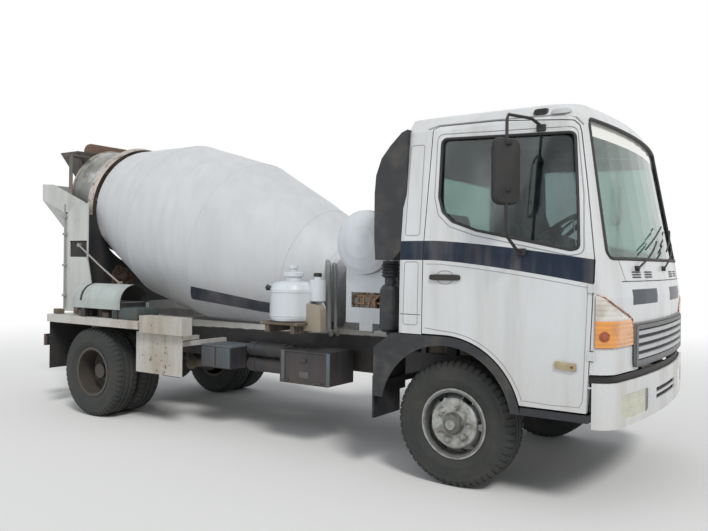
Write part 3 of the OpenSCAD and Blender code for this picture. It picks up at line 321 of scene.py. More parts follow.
def hopper_steel(name):
    """Grey cement-worn sheet; the hood over the front half is brown with rust."""
    s = Shader(name, 0.3)
    shade, rough = weather(s, lin((0.37, 0.36, 0.355)), 0.7, dirt=0.4, rust=0.35, low=0.3, high=3.5, pores=0.0009)
    hood = s.span(s.z, 2.7, 2.704) * s.span(s.x, RX - 1.28, RX - 1.276)
    brown = s.mix(s.noise(14, 5), lin((0.4, 0.3, 0.25)), lin((0.53, 0.44, 0.39)))
    return s.finish(s.mix(hood, shade, brown), rough)


def rim_paint(name):
    """Silver wheel paint: a bright raised disc, a dirty dark dish, rust round the nuts and the hub."""
    s = Shader(name, 0.15)
    radius = s.length(s.x - FX, s.z - AXLE_Z)
    blotch = s.noise(16, 5, 0.65, shift=2.0)
    shade = s.mix(s.span(blotch, 0.35, 0.65), lin((0.56, 0.57, 0.55)), lin((0.74, 0.75, 0.74)))
    dish = s.inside(radius, 0.168, 0.224, 0.004) * s.span(blotch, 0.25, 0.45)
    shade = s.mix(dish * 0.8, shade, lin((0.3, 0.32, 0.32)))
    hub = s.inside(radius, 0.034, 0.078, 0.003) * s.span(blotch, 0.32, 0.44)
    shade = s.mix(hub * 0.8, shade, lin((0.31, 0.3, 0.275)))
    nuts = s.inside(radius, 0.082, 0.14, 0.016) * s.span(s.noise(13, 4, 0.6, shift=7.0), 0.5, 0.6)
    shade = s.mix(nuts * 0.75, shade, lin((0.4, 0.34, 0.29)))
    return s.finish(*weather(s, shade, 0.4, dirt=0.35, low=0.1, high=0.7, dust=MUD))


def metal(name, colour, rough, rust, metallic=0.6, dirt=0.4):
    return painted(name, colour, rough, metallic, dirt=dirt, rust=rust, low=0.3, high=3.5, pores=0.0009)


def rubber(name, colour, rough=0.8, dirt=0.6):
    s = Shader(name)
    grain = s.noise(140, 3, 0.6)
    film = s.span(s.noise(3.5, 5, 0.6) + s.noise(22, 4) * 0.4, 0.5, 0.95) * dirt
    s.bump(grain + film, 0.0006, 0.8)
    shade = s.mix(grain, lin(darker(colour, 0.8)), lin(colour))
    return s.finish(s.mix(film, shade, MUD), s.blend(film, rough, 0.95))


def plastic(name, colour, rough=0.5, dirt=0.25):
    s = Shader(name)
    film = s.span(s.noise(4.5, 5, 0.6), 0.42, 0.75) * dirt
    s.bump(s.noise(420, 2), 0.0003, 0.6)
    return s.finish(s.mix(film, lin(colour), DUST), s.blend(film, rough, 0.85))


def glass(name, colour, dirt=0.12, band=None):
    """Dusty glass; above the height 'band' the windscreen is masked in white."""
    s = Shader(name)
    film = s.span(s.noise(3.2, 5, 0.6, (1, 1, 0.5)), 0.4, 0.75) * dirt
    shade = s.mix(film, lin(colour), lin((0.86, 0.87, 0.84)))
    clear = 1.0 - film
    if band:
        edge = s.span(s.z, band, band + 0.004) * s.span(s.x, FX + 0.4, FX + 0.41)
        shade = s.mix(edge, shade, lin((0.93, 0.93, 0.9)))
        clear = clear * (1.0 - edge)
    s.bump(s.noise(35, 2), 0.0001, 0.3)
    return s.finish(shade, s.blend(film, 0.03, 0.3), Transmission_Weight=clear, IOR=1.45)


def lens(name, colour, top=None, ribs=220.0, gap=None):
    """A moulded lamp lens with fine ribs; clear above the height 'top', dark within 'gap' of the centre line."""
    s = Shader(name)
    wave = s.math("SINE", s.z * ribs)
    shade = lin(colour)
    if top:
        shade = s.mix(s.span(s.z, top - 0.002, top + 0.002), shade, lin((0.88, 0.87, 0.84)))
    shade = s.mix(s.span(s.noise(9, 3), 0.4, 0.7) * 0.35, shade, lin(darker(colour, 0.55)))
    if gap:
        shade = s.mix(s.span(abs(s.y), gap + 0.012, gap), shade, lin((0.12, 0.13, 0.13)))
    s.bump(wave, 0.0015, 0.6)
    return s.finish(shade, s.blend(s.span(wave, -1, 1), 0.15, 0.28), Coat_Weight=0.8, Transmission_Weight=0.15)


def fabric(name, colour):
    s = Shader(name)
    weave = s.math("SINE", s.x * 1600.0) * s.math("SINE", s.y * 1600.0)
    s.bump(weave, 0.0006, 0.7)
    shade = s.mix(s.span(s.noise(5, 4), 0.35, 0.7), lin(darker(colour, 0.75)), lin(colour))
    return s.finish(shade, s.blend(s.span(weave, -1, 1), 0.8, 0.95), Sheen_Weight=0.3)


M = {
    "cab": cab_paint("cab_white"),
    "white": painted("body_white", (0.79, 0.795, 0.785), 0.45, dirt=0.5, rust=0.25, low=0.7, high=2.4),
    "plate": painted("plate_white", (0.78, 0.79, 0.775), 0.5, dirt=0.38, rust=0.25, low=0.7, high=1.6,
                     dust=lin((0.55, 0.55, 0.52))),
    "vessel": painted("vessel_white", (0.84, 0.865, 0.89), 0.32, dirt=0.22, rust=0.12, low=0.8, high=1.4, pores=0.0002),
    "beam": beam_paint("beam_white"),
    "crease": painted("crease_grey", (0.6, 0.61, 0.62), 0.5, dirt=0.4, low=0.6, high=1.2),
    "trim": plastic("trim_grey", (0.36, 0.37, 0.375), 0.45, 0.25),
    "drum": drum_paint("drum_white"),
    "drum_inside": drum_paint("drum_lining", True),
    "chassis": painted("chassis_black", (0.1, 0.11, 0.13), 0.55, dirt=0.4, rust=0.2, low=0.2, high=1.2, dust=MUD),
    "engine": metal("engine_grey", (0.3, 0.29, 0.27), 0.55, 0.3, 0.4, 0.7),
    "rim": rim_paint("rim_grey"),
    # Rear rims: dark with mud and rust, and darker than the front ones as painted shade under the deck
    "rim_dark": painted("rim_dark", (0.27, 0.25, 0.23), 0.6, dirt=0.8, rust=0.6, low=0.1, high=0.7, dust=MUD),
    "tyre": rubber("tyre", (0.2, 0.22, 0.215), 0.85, 0.35),
    "seal": rubber("seal_rubber", (0.13, 0.13, 0.135), 0.6, 0.2),
    "sheet": rubber("splash_rubber", (0.17, 0.175, 0.18), 0.8, 0.4),
    "black": plastic("plastic_black", (0.145, 0.155, 0.17), 0.55, 0.2),
    "hose": plastic("hose_grey", (0.58, 0.59, 0.59), 0.55, 0.4),
    "beige": painted("cover_beige", (0.6, 0.565, 0.5), 0.6, dirt=0.4, rust=0.3, low=0.8, high=1.3),
    "teal": painted("block_teal", (0.2, 0.3, 0.31), 0.6, dirt=0.4, low=0.8, high=1.3, dust=MUD),
    "inner": plastic("cab_lining", (0.36, 0.37, 0.38), 0.65, 0.15),
    "screen": glass("glass_screen", (0.62, 0.78, 0.72), 0.26, 2.285),
    "pane": glass("glass_side", (0.62, 0.68, 0.68), 0.16),
    "seat": fabric("seat_fabric", (0.4, 0.43, 0.47)),
    "cream": lens("lamp_cream", (0.8, 0.8, 0.7), ribs=90.0, gap=0.52),
    "amber": lens("lamp_amber", (0.93, 0.62, 0.27), top=1.165),
    "orange": lens("lamp_edge", (0.68, 0.33, 0.15), ribs=60.0),
    "red": lens("lamp_red", (0.55, 0.08, 0.06)),
    "marker": lens("lamp_marker", (0.72, 0.66, 0.5), ribs=120.0),
    "clear": lens("lamp_clear", (0.78, 0.79, 0.78), ribs=260.0),
    "silver": plastic("grille_silver", (0.68, 0.69, 0.7), 0.35, 0.2),
    "ring": ring_steel("ring_steel"),
    "copper": metal("copper_pipe", (0.66, 0.5, 0.38), 0.55, 0.5, 0.4),
    "rusty": metal("rusty_steel", (0.36, 0.31, 0.28), 0.7, 0.9, 0.35),
    "hopper": hopper_steel("hopper_steel"),
    "chute": metal("chute_steel", (0.6, 0.6, 0.59), 0.5, 0.45, 0.45),
    "chute_white": painted("chute_white", (0.72, 0.76, 0.75), 0.5, dirt=0.45, rust=0.25, low=0.9, high=1.6,
                           dust=lin((0.52, 0.52, 0.49))),
    "panel": painted("panel_grey", (0.36, 0.4, 0.43), 0.5, dirt=0.5, rust=0.15, low=0.3, high=0.9, dust=MUD),
    "box": painted("box_grey", (0.15, 0.16, 0.185), 0.5, dirt=0.42, rust=0.2, low=0.3, high=0.9, dust=MUD),
    "mirror": metal("mirror_face", (0.8, 0.82, 0.84), 0.06, 0.0, 1.0, 0.1),
}
# Each line: a material, then the nodes that it covers
LOOK = """
cab cab_shell cab_floor door_left door_right bumper
beam sub_frame
white front_pedestal rear_deck side_skirts
plate rear_pedestal discharge_funnel
vessel water_tank oil_vessels
drum drum
chassis chassis_rails crossmembers front_axle rear_axle knuckle_left knuckle_right tie_rod roller_beam
engine engine drive_line drum_drive
rim rim_front_left rim_front_right
rim_dark rim_rear_left rim_rear_right
tyre tyre_front_left tyre_front_right tyre_rear_left tyre_rear_right
black mudguards cab_steps mirror_left mirror_right dashboard air_intake air_cleaner
screen cab_glass
pane door_glass_left door_glass_right
seat seats
cream headlamps
amber corner_lamps
red rear_lamps
silver grille
ring drum_ring
rusty roller_left roller_right
hopper charge_hopper
chute chute_swivel main_chute
chute_white spare_chute
box side_tanks
"""


def repaint(name, *rules):
    """Gives a face of the node the material of the first rule (material, test of the face) that it meets."""
    mesh = nodes[name].data
    for key, _ in rules:
        mesh.materials.append(M[key])
    for polygon in mesh.polygons:
        for index, (_, test) in enumerate(rules, 1):
            if test(polygon):
                polygon.material_index = index
                break


def dress_nodes():
    for line in LOOK.strip().split("\n"):
        key, *names = line.split()
        for name in names:
            mats = nodes[name].data.materials
            mats.clear()
            mats.append(M[key])
    # Rubber flaps hang from the deck; the tail bar is dark between its lamps
    repaint("rear_deck", ("sheet", lambda f: f.center.z < 0.869 and f.center.x < RX - 0.655 and abs(f.center.y) < 1.06))
    repaint("rear_lamps", ("chassis", lambda f: f.center.x > RX - 0.985 or abs(f.center.y) < 0.55))
    # The cab's inner faces are lined in grey, and the floor pan is grey above and black below
    centre = Vector((FX + 0.35, 0, 1.6))
    for name in ("cab_shell", "door_left", "door_right", "cab_floor"):
        repaint(name, ("inner", lambda f: f.normal.dot(f.center - centre) < -0.02),
                ("black", lambda f: name == "cab_floor"))

    # Cement lines the drum and its rim; the stowed chute is painted dark inside as shade, and black below its axis
    def lined(f):
        out = f.center - DRUM
        along = out.dot(AXIS)
        facing_in = along > 0.05 and f.normal.dot(out - along * AXIS) < 0
        return facing_in or abs(f.normal.dot(AXIS)) > 0.99 and along > 0

    def trough(f):
        out = f.center - Vector((f.center.x, -0.9, 1.095))
        return f.center.z > 1.0955 and (f.normal.dot(out) < 0 or f.normal.x > 0.9)

    repaint("drum", ("drum_inside", lined))
    # The dark rubber inside the stowed chute's arch is painted shade
    repaint("spare_chute", ("sheet", trough), ("chassis", lambda f: f.center.z < 1.095))
    # The stand under the bottle is brown with rust; the grille has silver slats in a dark frame
    repaint("oil_vessels", ("rusty", lambda f: f.center.z < 1.0135))
    repaint("grille", ("trim", lambda f: abs(f.center.y) > 0.682 or not 0.903 < f.center.z < 1.102))


# ---- shapes
def turns(n, shift=0):
    """The angles that divide a full turn by n."""
    return [2 * pi * (i + shift) / n for i in range(n)]


def row(start, step, count):
    return [start + step * i for i in range(count)]


def between(a, b, t):
    return [p + (q - p) * t for p, q in zip(a, b)]


def lookup(rows, key):
    """The row at this key, from rows that start with rising keys."""
    for a, b in zip(rows, rows[1:]):
        if a[0] <= key <= b[0]:
            return between(a, b, (key - a[0]) / max(b[0] - a[0], 1e-6))


def circle(centre, r, u, v, sides):
    """Points round the centre in the plane of u and v."""
    return [centre + r * (cos(a) * u + sin(a) * v) for a in turns(sides)]


def rounded(outline, r, steps=6):
    """The outline with its corners rounded."""
    out = []
    for i, q in enumerate(outline):
        p, q, s = (Vector(k) for k in (outline[i - 1], q, outline[(i + 1) % len(outline)]))
        a, b = (p - q), (s - q)
        cut = min(r / tan(max(a.angle(b) / 2, 0.05)), a.length * 0.48, b.length * 0.48)
        start, end = q + a.normalized() * cut, q + b.normalized() * cut
        for k in range(steps + 1):
            t = k / steps
            out.append((1 - t) ** 2 * start + 2 * t * (1 - t) * q + t * t * end)
    return out


def dense(outline, step=0.05):
    """The closed outline with points between its corners."""
    out = []
    for a, b in zip(outline, outline[1:] + outline[:1]):
        n = max(1, int((b - a).length / step))
        out += [a + (b - a) * k / n for k in range(n)]
    return out


def ellipse(cx, cy, rx, ry, n=28, power=2.0):
    """A superellipse: the higher the power, the squarer it is."""
    bend = lambda c: copysign(abs(c) ** (2 / power), c)
    return [Vector((cx + rx * bend(cos(a)), cy + ry * bend(sin(a)))) for a in turns(n)]


class Form:
    """The mesh under construction: each method adds a shape, piece() makes an object of them and starts afresh."""

    def __init__(self):
        self.bm = bmesh.new()

    def piece(self, name, mat, body="root", smooth=35):
        mesh = bpy.data.meshes.new(name)
        bmesh.ops.recalc_face_normals(self.bm, faces=self.bm.faces)
        self.bm.to_mesh(mesh)
        self.bm.free()
        self.bm = bmesh.new()
        obj = link(name, mesh)
        mesh.materials.append(M[mat])
        mesh.shade_smooth()
        mesh.set_sharp_from_angle(angle=radians(smooth))
        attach(obj, body)
        return obj

    def join(self, rings, caps=2, closed=False, wrap=True):
        """Walls between successive rings of points, with caps on both ends (2), the last (1) or none (0)."""
        rings = [[self.bm.verts.new(p) for p in ring] for ring in rings]
        for a, b in zip(rings, rings[1:] + rings[:1] if closed else rings[1:]):
            for k in range(len(a) if wrap else len(a) - 1):
                n = (k + 1) % len(a)
                self.bm.faces.new((a[k], a[n], b[n], b[k]) if len(b) > 1 else (a[k], a[n], b[0]))
        if caps == 2:
            self.bm.faces.new(rings[0][::-1])
        if caps:
            self.bm.faces.new(rings[-1])

    def box(self, low, high, r=0.0, turn=Matrix.Identity(3)):
        """A box with rounded edges."""
        made = bmesh.ops.create_cube(self.bm, size=1)["verts"]
        mid = (Vector(low) + Vector(high)) / 2
        size = Vector(high) - Vector(low)
        for v in made:
            v.co = turn @ Vector([a * b for a, b in zip(v.co, size)]) + mid
        if r:
            self.soften({e for v in made for e in v.link_edges}, r)

    def soften(self, edges, r):
        bmesh.ops.bevel(self.bm, geom=list(edges), offset=r, segments=2, affect="EDGES", profile=0.6)

    def tube(self, points, r, sides=10):
        """A round tube through the points."""
        points = [Vector(p) for p in points]
        rings, normal = [], None
        for i, p in enumerate(points):
            step = (points[min(i + 1, len(points) - 1)] - points[max(i - 1, 0)]).normalized()
            if normal is None:
                normal = step.orthogonal().normalized()
            normal = (normal - normal.dot(step) * step).normalized()
            rings.append(circle(p, r, normal, step.cross(normal), sides))
        self.join(rings)

    def loop(self, points, r, sides=8):
        """A closed round bead through the points."""
        points = [Vector(p) for p in points]
        rings = []
        for i, p in enumerate(points):
            step = (points[(i + 1) % len(points)] - points[i - 1]).normalized()
            normal = Vector((0, 0, 1)) if abs(step.z) < 0.9 else Vector((1, 0, 0))
            if abs(p.y) > 0.8 and abs(step.y) < 0.5:
                normal = Vector((0, 1, 0))
            normal = (normal - normal.dot(step) * step).normalized()
            rings.append(circle(p, r, normal, step.cross(normal), sides))
        self.join(rings, 0, True)

    def lathe(self, profile, place, axis, segments=48):
        """Turns (radius, distance along the axis) points round the axis at place."""
        axis, place = Vector(axis).normalized(), Vector(place)
        u = axis.orthogonal().normalized()
        v = axis.cross(u)
        self.join([circle(place + h * axis, r, u, v, segments) if r else [place + h * axis] for r, h in profile], 0)

    def pad(self, outline, place, depth, bulge=0.0):
        """A plaque that rises from the outline (2-D points) to depth with a soft rim; place(p, d) gives 3-D points."""
        centre = sum((Vector(p) for p in outline), Vector((0, 0))) / len(outline)
        steps = [(1.0, -0.004), (1.0, depth * 0.55), (0.985, depth * 0.82), (0.955, depth),
                 (0.6, depth + bulge * 0.7), (0.2, depth + bulge)]
        self.join([[place(centre + (Vector(p) - centre) * scale, d) for p in outline] for scale, d in steps], 1)

    def strap(self, path, wide, width, thick):
        """A flat strap along the path, width along 'wide'."""
        wide = Vector(wide)
        rows = []
        for i, p in enumerate(path):
            a, b = Vector(path[max(i - 1, 0)]), Vector(path[min(i + 1, len(path) - 1)])
            out = wide.cross((b - a).normalized()) * thick / 2
            q, w = Vector(p), wide * width / 2
            rows.append([q + out + w, q + out - w, q - out - w, q - out + w])
        self.join(rows)

    def studs(self, profile, centre, axis, r, count, shift=0):
        """Bolts round a wheel's or a lid's centre."""
        for a in turns(count, shift):
            flat = Vector((cos(a), 0, sin(a))) if axis[1] else Vector((cos(a), sin(a), 0))
            self.lathe(profile, Vector(centre) + r * flat, axis, 6)


form = Form()

# The cab's outer surface: height, rear, front, half width, corner radius, bow of the front (as in the solids)
LEVELS = [(0.62, -0.385, 1.125, 1.08, 0.15, 0.07), (1.3, -0.385, 1.125, 1.078, 0.15, 0.07),
          (1.56, -0.385, 1.085, 1.072, 0.15, 0.075), (2.39, -0.38, 0.925, 0.99, 0.14, 0.07),
          (2.49, -0.37, 0.86, 0.915, 0.14, 0.06), (2.545, -0.295, 0.7, 0.7, 0.12, 0.05)]
NOSE_TURN = radians(9)      # the bowed front turns this far before its corner begins


def level(z):
    return lookup(LEVELS, min(max(z, LEVELS[0][0]), LEVELS[-1][0]))


def half_front(front, half, r, bow, steps):
    """(X, Y) points of a bowed front and its round corner, from the middle outwards."""
    edge = half - r + r * sin(NOSE_TURN)
    points = [(front - bow * t * t, edge * t) for t in (i / steps for i in range(steps + 1))]
    for i in range(1, 11):
        a = NOSE_TURN + radians(8.1) * i
        points.append((front - bow - r * cos(NOSE_TURN) + r * cos(a), half - r + r * sin(a)))
    return points


def front_at(points, y):
    """X of such a front at y."""
    return lookup([(y, x) for x, y in points], abs(y))[1]


def cab_side(x, z):
    """Half width of the cab at X (from the front axle) and height z."""
    _, rear, front, half, r, bow = level(z)
    points = half_front(front, half, r, bow, 8)[8:]
    points += [(rear + 0.045, half), (rear + 0.012, half - 0.012), (rear, half - 0.045)]
    return (lookup(points[::-1], x) or points[-1 if x < rear else 0])[1]


def face(y, z, out=0.0):
    """A point on the cab's front, or ahead of it."""
    return (FX + front_at(half_front(*level(z)[2:], 8), y) + out, y, z)


def skin(x, z, sign, out=0.0):
    """A point on the cab's side, round its front corner and on its nose, or out from it."""
    _, _, front, half, r, bow = level(z)
    edge = half - r + r * sin(NOSE_TURN)
    mid = front - bow - r * cos(NOSE_TURN)
    if x > front - bow:
        y = edge * sqrt(max(front - x, 0.0) / bow)
        if y < CORNER_Y:
            y = CORNER_Y
            x = front - bow * (y / edge) ** 2
        away = Vector((1, 2 * bow * y / edge ** 2)).normalized()
    elif x > mid:
        a = acos(min(1.0, (x - mid) / r))
        y = half - r + r * sin(a)
        away = Vector((cos(a), sin(a)))
    else:
        y = cab_side(x, z)
        away = Vector((0, 1))
    return (FX + x + out * away.x, sign * (y + out * away.y), z)


WINDOW = [(-0.094, 2.328), (0.796, 2.296), (0.832, 1.911), (0.854, 1.59), (0.806, 1.58), (0.19, 1.706),
          (0.015, 1.768), (-0.06, 1.835), (-0.092, 1.935)]
SCREEN = [(-0.992, 1.532), (-0.893, 2.39), (0.893, 2.39), (0.992, 1.532)]
BACK = [(-0.48, 1.75), (-0.48, 2.15), (0.48, 2.15), (0.48, 1.75)]
CORNER_Y = 0.735    # the corner lamp ends here on the nose


# ---- seats
def evaluated(obj):
    return obj.evaluated_get(bpy.context.evaluated_depsgraph_get())


def inflate(low, high, lean, place):
    """A cushion: a rounded block, remeshed, blown up a little as cloth, with sewn channels; (points, faces)."""
    form.box(low, high, 0.045)
    mesh = bpy.data.meshes.new("pad")
    form.bm.to_mesh(mesh)
    form.bm.clear()
    pad = link("pad", mesh)
    remesh = pad.modifiers.new("Remesh", "REMESH")
    remesh.mode = "VOXEL"
    remesh.voxel_size = VOXEL
    solid = bpy.data.meshes.new_from_object(evaluated(pad))
    pad.modifiers.clear()
    pad.data = solid
    rest = [v.co.copy() for v in solid.vertices]
    cloth = pad.modifiers.new("Cloth", "CLOTH")
    cloth.settings.use_pressure = True
    cloth.settings.uniform_pressure_force = 4
    cloth.settings.effector_weights.gravity = 0
    cloth.settings.quality = 4
    cloth.point_cache.frame_end = CLOTH_FRAMES
    for step in range(1, CLOTH_FRAMES + 1):
        bpy.context.scene.frame_set(step)
    blown = [v.co.copy() for v in evaluated(pad).data.vertices]
    pad.modifiers.clear()
    bpy.context.scene.frame_set(1)
    for v, a, b in zip(solid.vertices, rest, blown):
        move = b - a
        v.co = a + (move.normalized() * min(move.length, PUFF) if move.length else move)
    pad.modifiers.new("Subdivision", "SUBSURF").levels = 1
    done = bpy.data.meshes.new_from_object(evaluated(pad))
    centre_y = (low[1] + high[1]) / 2
    top = high[2] if high[2] - low[2] < 0.4 else None
    points = []
    for v in done.vertices:
        p = v.co.copy()
        for line in (-0.115, 0.115):
            groove = 0.009 * exp(-((p.y - centre_y - line) / 0.011) ** 2)
            if top and p.z > top - 0.04:
                p.z -= groove
            if not top and p.x > high[0] - 0.03:
                p.x -= groove
        points.append(place + lean @ p)
    faces = [tuple(f.vertices) for f in done.polygons]
    bpy.data.objects.remove(pad)
    return points, faces


def make_seats():
    lean = Matrix.Rotation(radians(-10), 3, "Y")
    flat = Matrix.Identity(3)
    pads = []
    for y in (-0.65, 0.65):
        pads.append(inflate((-0.23, -0.238, -0.115), (0.226, 0.238, 0.108), flat, Vector((FX + 0.09, y, 1.19))))
        pads.append(inflate((0.004, -0.238, 0.015), (0.096, 0.238, 0.545), lean, Vector((FX - 0.15, y, 1.31))))
    for points, faces in pads:
        verts = [form.bm.verts.new(p) for p in points]
        for f in faces:
            form.bm.faces.new([verts[k] for k in f])
    seats = form.piece("seat_pads", "seat", "cab", 60)
    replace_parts(seats, "seats")


# ---- wheels
# Half a tyre's section: radius, offset, and how far the point drops in the shoulder's notches
TYRE = [(0.2223, 0.092, 0), (0.2345, 0.0935, 0), (0.252, 0.104, 0), (0.267, 0.1125, 0), (0.284, 0.1155, 0),
        (0.288, 0.118, 0), (0.298, 0.1185, 0), (0.302, 0.1175, 0), (0.33, 0.1199, 0), (0.351, 0.119, 0),
        (0.372, 0.1155, 0), (0.378, 0.117, 0), (0.392, 0.112, 1), (0.404, 0.105, 1), (0.413, 0.097, 1),
        (0.419, 0.088, 1), (0.4207, 0.077, 1), (0.4208, 0.056, 0.2), (0.4095, 0.0535, 0), (0.4095, 0.0455, 0),
        (0.4209, 0.043, 0), (0.421, 0.008, 0), (0.41, 0.006, 0)]
NOTCHES, NOTCH = 52, 0.01


def add_tyre(x, y):
    profile = TYRE + [(r, -offset, lug) for r, offset, lug in reversed(TYRE)]
    rings = []
    for i in range(NOTCHES):
        for part, drop in ((0.0, 0), (0.34, 0), (0.66, 0), (0.71, NOTCH), (0.95, NOTCH)):
            a = 2 * pi * (i + part) / NOTCHES
            rings.append([(x + (r - drop * lug) * cos(a), y + offset, AXLE_Z + (r - drop * lug) * sin(a))
                          for r, offset, lug in profile])
    form.join(rings, 0, True, False)


def make_tyres():
    for side, sign in SIDES:
        add_tyre(FX, sign * FRONT_Y)
        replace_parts(form.piece("tread_front_" + side, "tyre", "wheel_front_" + side, 30), "tyre_front_" + side)
        for offset in (-TWIN, TWIN):
            add_tyre(RX, sign * REAR_Y + offset)
        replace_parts(form.piece("tread_rear_" + side, "tyre", "wheel_rear_" + side, 30), "tyre_rear_" + side)


def make_wheel_details():
    nut = [(0.022, -0.002), (0.022, 0.003), (0.017, 0.004), (0.017, 0.02), (0.0135, 0.024), (0.01, 0.024),
           (0.01, 0.034), (0.0, 0.036)]
    for side, sign in SIDES:
        out = (0, sign, 0)
        for end, x, disc, r, mat, slot in (("front", FX, FRONT_Y + 0.097, 0.111, "rim", "rim_grey"),
                                           ("rear", RX, REAR_Y + 0.008, 0.1285, "rusty", "rim_dark")):
            form.studs(nut, (x, sign * disc, AXLE_Z), out, r, 6, 0.25)
            a = radians(70)
            valve = Vector((x + 0.2 * cos(a), sign * (disc - 0.045), AXLE_Z + 0.2 * sin(a)))
            form.tube([valve, valve + Vector((0, sign * 0.03, 0)), valve + Vector((-0.02, sign * 0.05, -0.03))],
                      0.004, 8)
            form.piece("nuts_%s_%s" % (end, side), mat, "wheel_%s_%s" % (end, side), 30)
        # Hub: a ring of studs on the rear hub and a ribbed cap on the front one
        form.studs([(0.011, -0.002), (0.011, 0.008), (0.0, 0.01)], (RX, sign * 0.88, AXLE_Z), out, 0.082, 8)
        for r, h0, h1 in ((0.104, 0.835, 0.86), (0.072, 0.905, 0.925)):
            form.lathe([(r - 0.004, h0), (r, h0 + 0.004), (r, h1 - 0.004), (r - 0.004, h1)], (RX, 0, AXLE_Z), out, 40)
        form.piece("hub_rear_" + side, "rim_dark", "wheel_rear_" + side, 30)
        form.studs([(0.007, -0.002), (0.007, 0.006), (0.0, 0.007)], (FX, sign * 1.000, AXLE_Z), out, 0.048, 6, 0.75)
        form.lathe([(0.2325, 0.1025), (0.236, 0.1035), (0.236, 0.1015), (0.234, 0.099)],
                   (FX, sign * FRONT_Y, AXLE_Z), out, 72)
        form.piece("hub_front_" + side, "rim", "wheel_front_" + side, 30)


# ---- cab details
def make_seals():
    for side, sign in SIDES:
        form.loop([(FX + p.x, sign * (cab_side(p.x, p.y) - 0.004), p.y) for p in dense(rounded(WINDOW, 0.04))], 0.01)
        form.piece("window_seal_" + side, "seal", "door_" + side)
    form.loop([face(p.x, p.y, -0.004) for p in dense(rounded(SCREEN, 0.055))], 0.012)
    form.loop([(FX + level(p.y)[1] + 0.002, p.x, p.y) for p in dense(rounded(BACK, 0.05))], 0.01)
    form.piece("screen_seals", "seal", "cab")


def make_cab_trim():
    window_line = [(-0.128, 2.362), (0.808, 2.33), (0.866, 1.915), (0.886, 1.56), (0.8, 1.548), (0.18, 1.674),
                   (-0.005, 1.736), (-0.092, 1.815), (-0.126, 1.935)]
    arch = [(-0.03 + 0.575 * cos(a), 0.47 + 0.575 * sin(a)) for a in (radians(18 + 70 * i / 30) for i in range(31))]
    panel = [(-0.165, 1.487), (-0.05, 1.487)]
    panel += [(x, 1.487 - 0.134 * (max(0.0, (x + 0.12) * 0.94)) ** 1.35) for x in row(-0.05, 0.0505, 20)[1:]]
    panel += [(0.911, 1.33), (0.905, 1.15), (0.898, 0.96), (0.89, 0.69), (0.87, 0.652), (0.7, 0.645),
              (0.525, 0.652)]
    gutter = [(0.835, 2.345), (0.8, 2.388), (0.7, 2.412), (0.55, 2.418), (0.29, 2.424), (-0.13, 2.428),
              (-0.205, 2.405)]
    marker = [(0.722, 0.868), (0.852, 0.86), (0.852, 0.908), (0.722, 0.916)]
    lamp = [(0.958, 1.01), (0.96, 1.318), (1.000, 1.302), (1.03, 1.275), (1.056, 1.24), (1.075, 1.195),
            (1.087, 1.15), (1.09, 1.01)]
    for side, sign in SIDES:
        body = "door_" + side

        def line(points, out):
            return [skin(p[0], p[1], sign, out) for p in points]

        def on_side(p, out):
            return skin(p.x, p.y, sign, out)

        # Handle in its shallow dish
        form.pad(ellipse(-0.022, 1.4, 0.112, 0.02, 36, 5), on_side, 0.016)
        form.piece("handle_" + side, "seal", body)
        for half in (1, -1):
            dish = [(-0.022 + 0.055 * cos(a), 1.4 + half * (0.018 + 0.026 * sin(a))) for a in turns(28)[:15]]
            form.tube(line(dish, -0.001), 0.0035, 6)
        # Pressed lines: round the window, along the wheel arch and round the lower panel
        form.loop(line(dense(rounded(window_line, 0.05)), -0.0015), 0.004, 6)
        form.tube(line(arch + [(-0.165, 1.06)], -0.0015), 0.0035, 6)
        form.tube(line(panel, -0.0012), 0.0028, 6)
        form.piece("door_lines_" + side, "crease", body)
        # Side marker lamp with its red reflector dot
        form.pad(rounded(marker, 0.008, 3), on_side, 0.014, 0.003)
        form.piece("side_marker_" + side, "marker", body)
        form.pad(ellipse(0.828, 0.886, 0.008, 0.008, 14), lambda p, d: on_side(p, d + 0.014), 0.004)
        form.piece("side_dot_" + side, "red", body)
        # Rear corner panel, and the rain gutter over the door
        for low, high in ((1.075, 1.5), (1.68, 2.3)):
            edge = rounded([(-0.335, low), (-0.225, low), (-0.225, high), (-0.33, high)], 0.02)
            form.loop(line(dense(edge), -0.0015), 0.0035, 6)
        form.tube(line(gutter, 0.001), 0.0055, 6)
        form.piece("corner_lines_" + side, "crease", "cab")
        form.tube(line([(x, 1.145) for x in row(-0.375, 0.0175, 11)], -0.0018), 0.0032, 6)
        form.piece("corner_seam_" + side, "seal", "cab")
        # Roof-side lamp with a dark vent behind it
        form.pad(ellipse(0.7, 2.438, 0.058, 0.02, 28, 2.6), on_side, 0.02, 0.006)
        form.piece("roof_lamp_" + side, "clear", "cab")
        form.pad(ellipse(0.57, 2.45, 0.046, 0.022, 28, 4), on_side, 0.014)
        for z in row(2.438, 0.008, 4):
            form.tube(line([(x, z) for x in row(0.535, 0.0235, 4)], 0.015), 0.003, 6)
        form.piece("roof_vent_" + side, "seal", "cab")
        # Corner lamp: frame, moulded ribs and round bulb
        form.loop(line(dense([Vector(q) for q in lamp], 0.012), 0.003), 0.005, 6)
        form.piece("corner_frame_" + side, "orange", "cab")
        for z in row(1.03, 0.0235, 12):
            front = min(1.084, 1.084 - max(0.0, z - 1.16) * 0.55)
            form.tube(line([(0.966 + (front - 0.966) * t / 12, z) for t in range(13)], 0.0095), 0.003, 6)
        form.piece("corner_ribs_" + side, "amber", "cab")
        form.pad(ellipse(0.997, 1.075, 0.019, 0.025, 20), on_side, 0.014, 0.003)
        for size in (1.0, 0.55):
            form.loop(line(ellipse(0.997, 1.075, 0.021 * size, 0.028 * size, 24), 0.0155), 0.0028, 6)
        form.piece("corner_bulb_" + side, "orange", "cab")


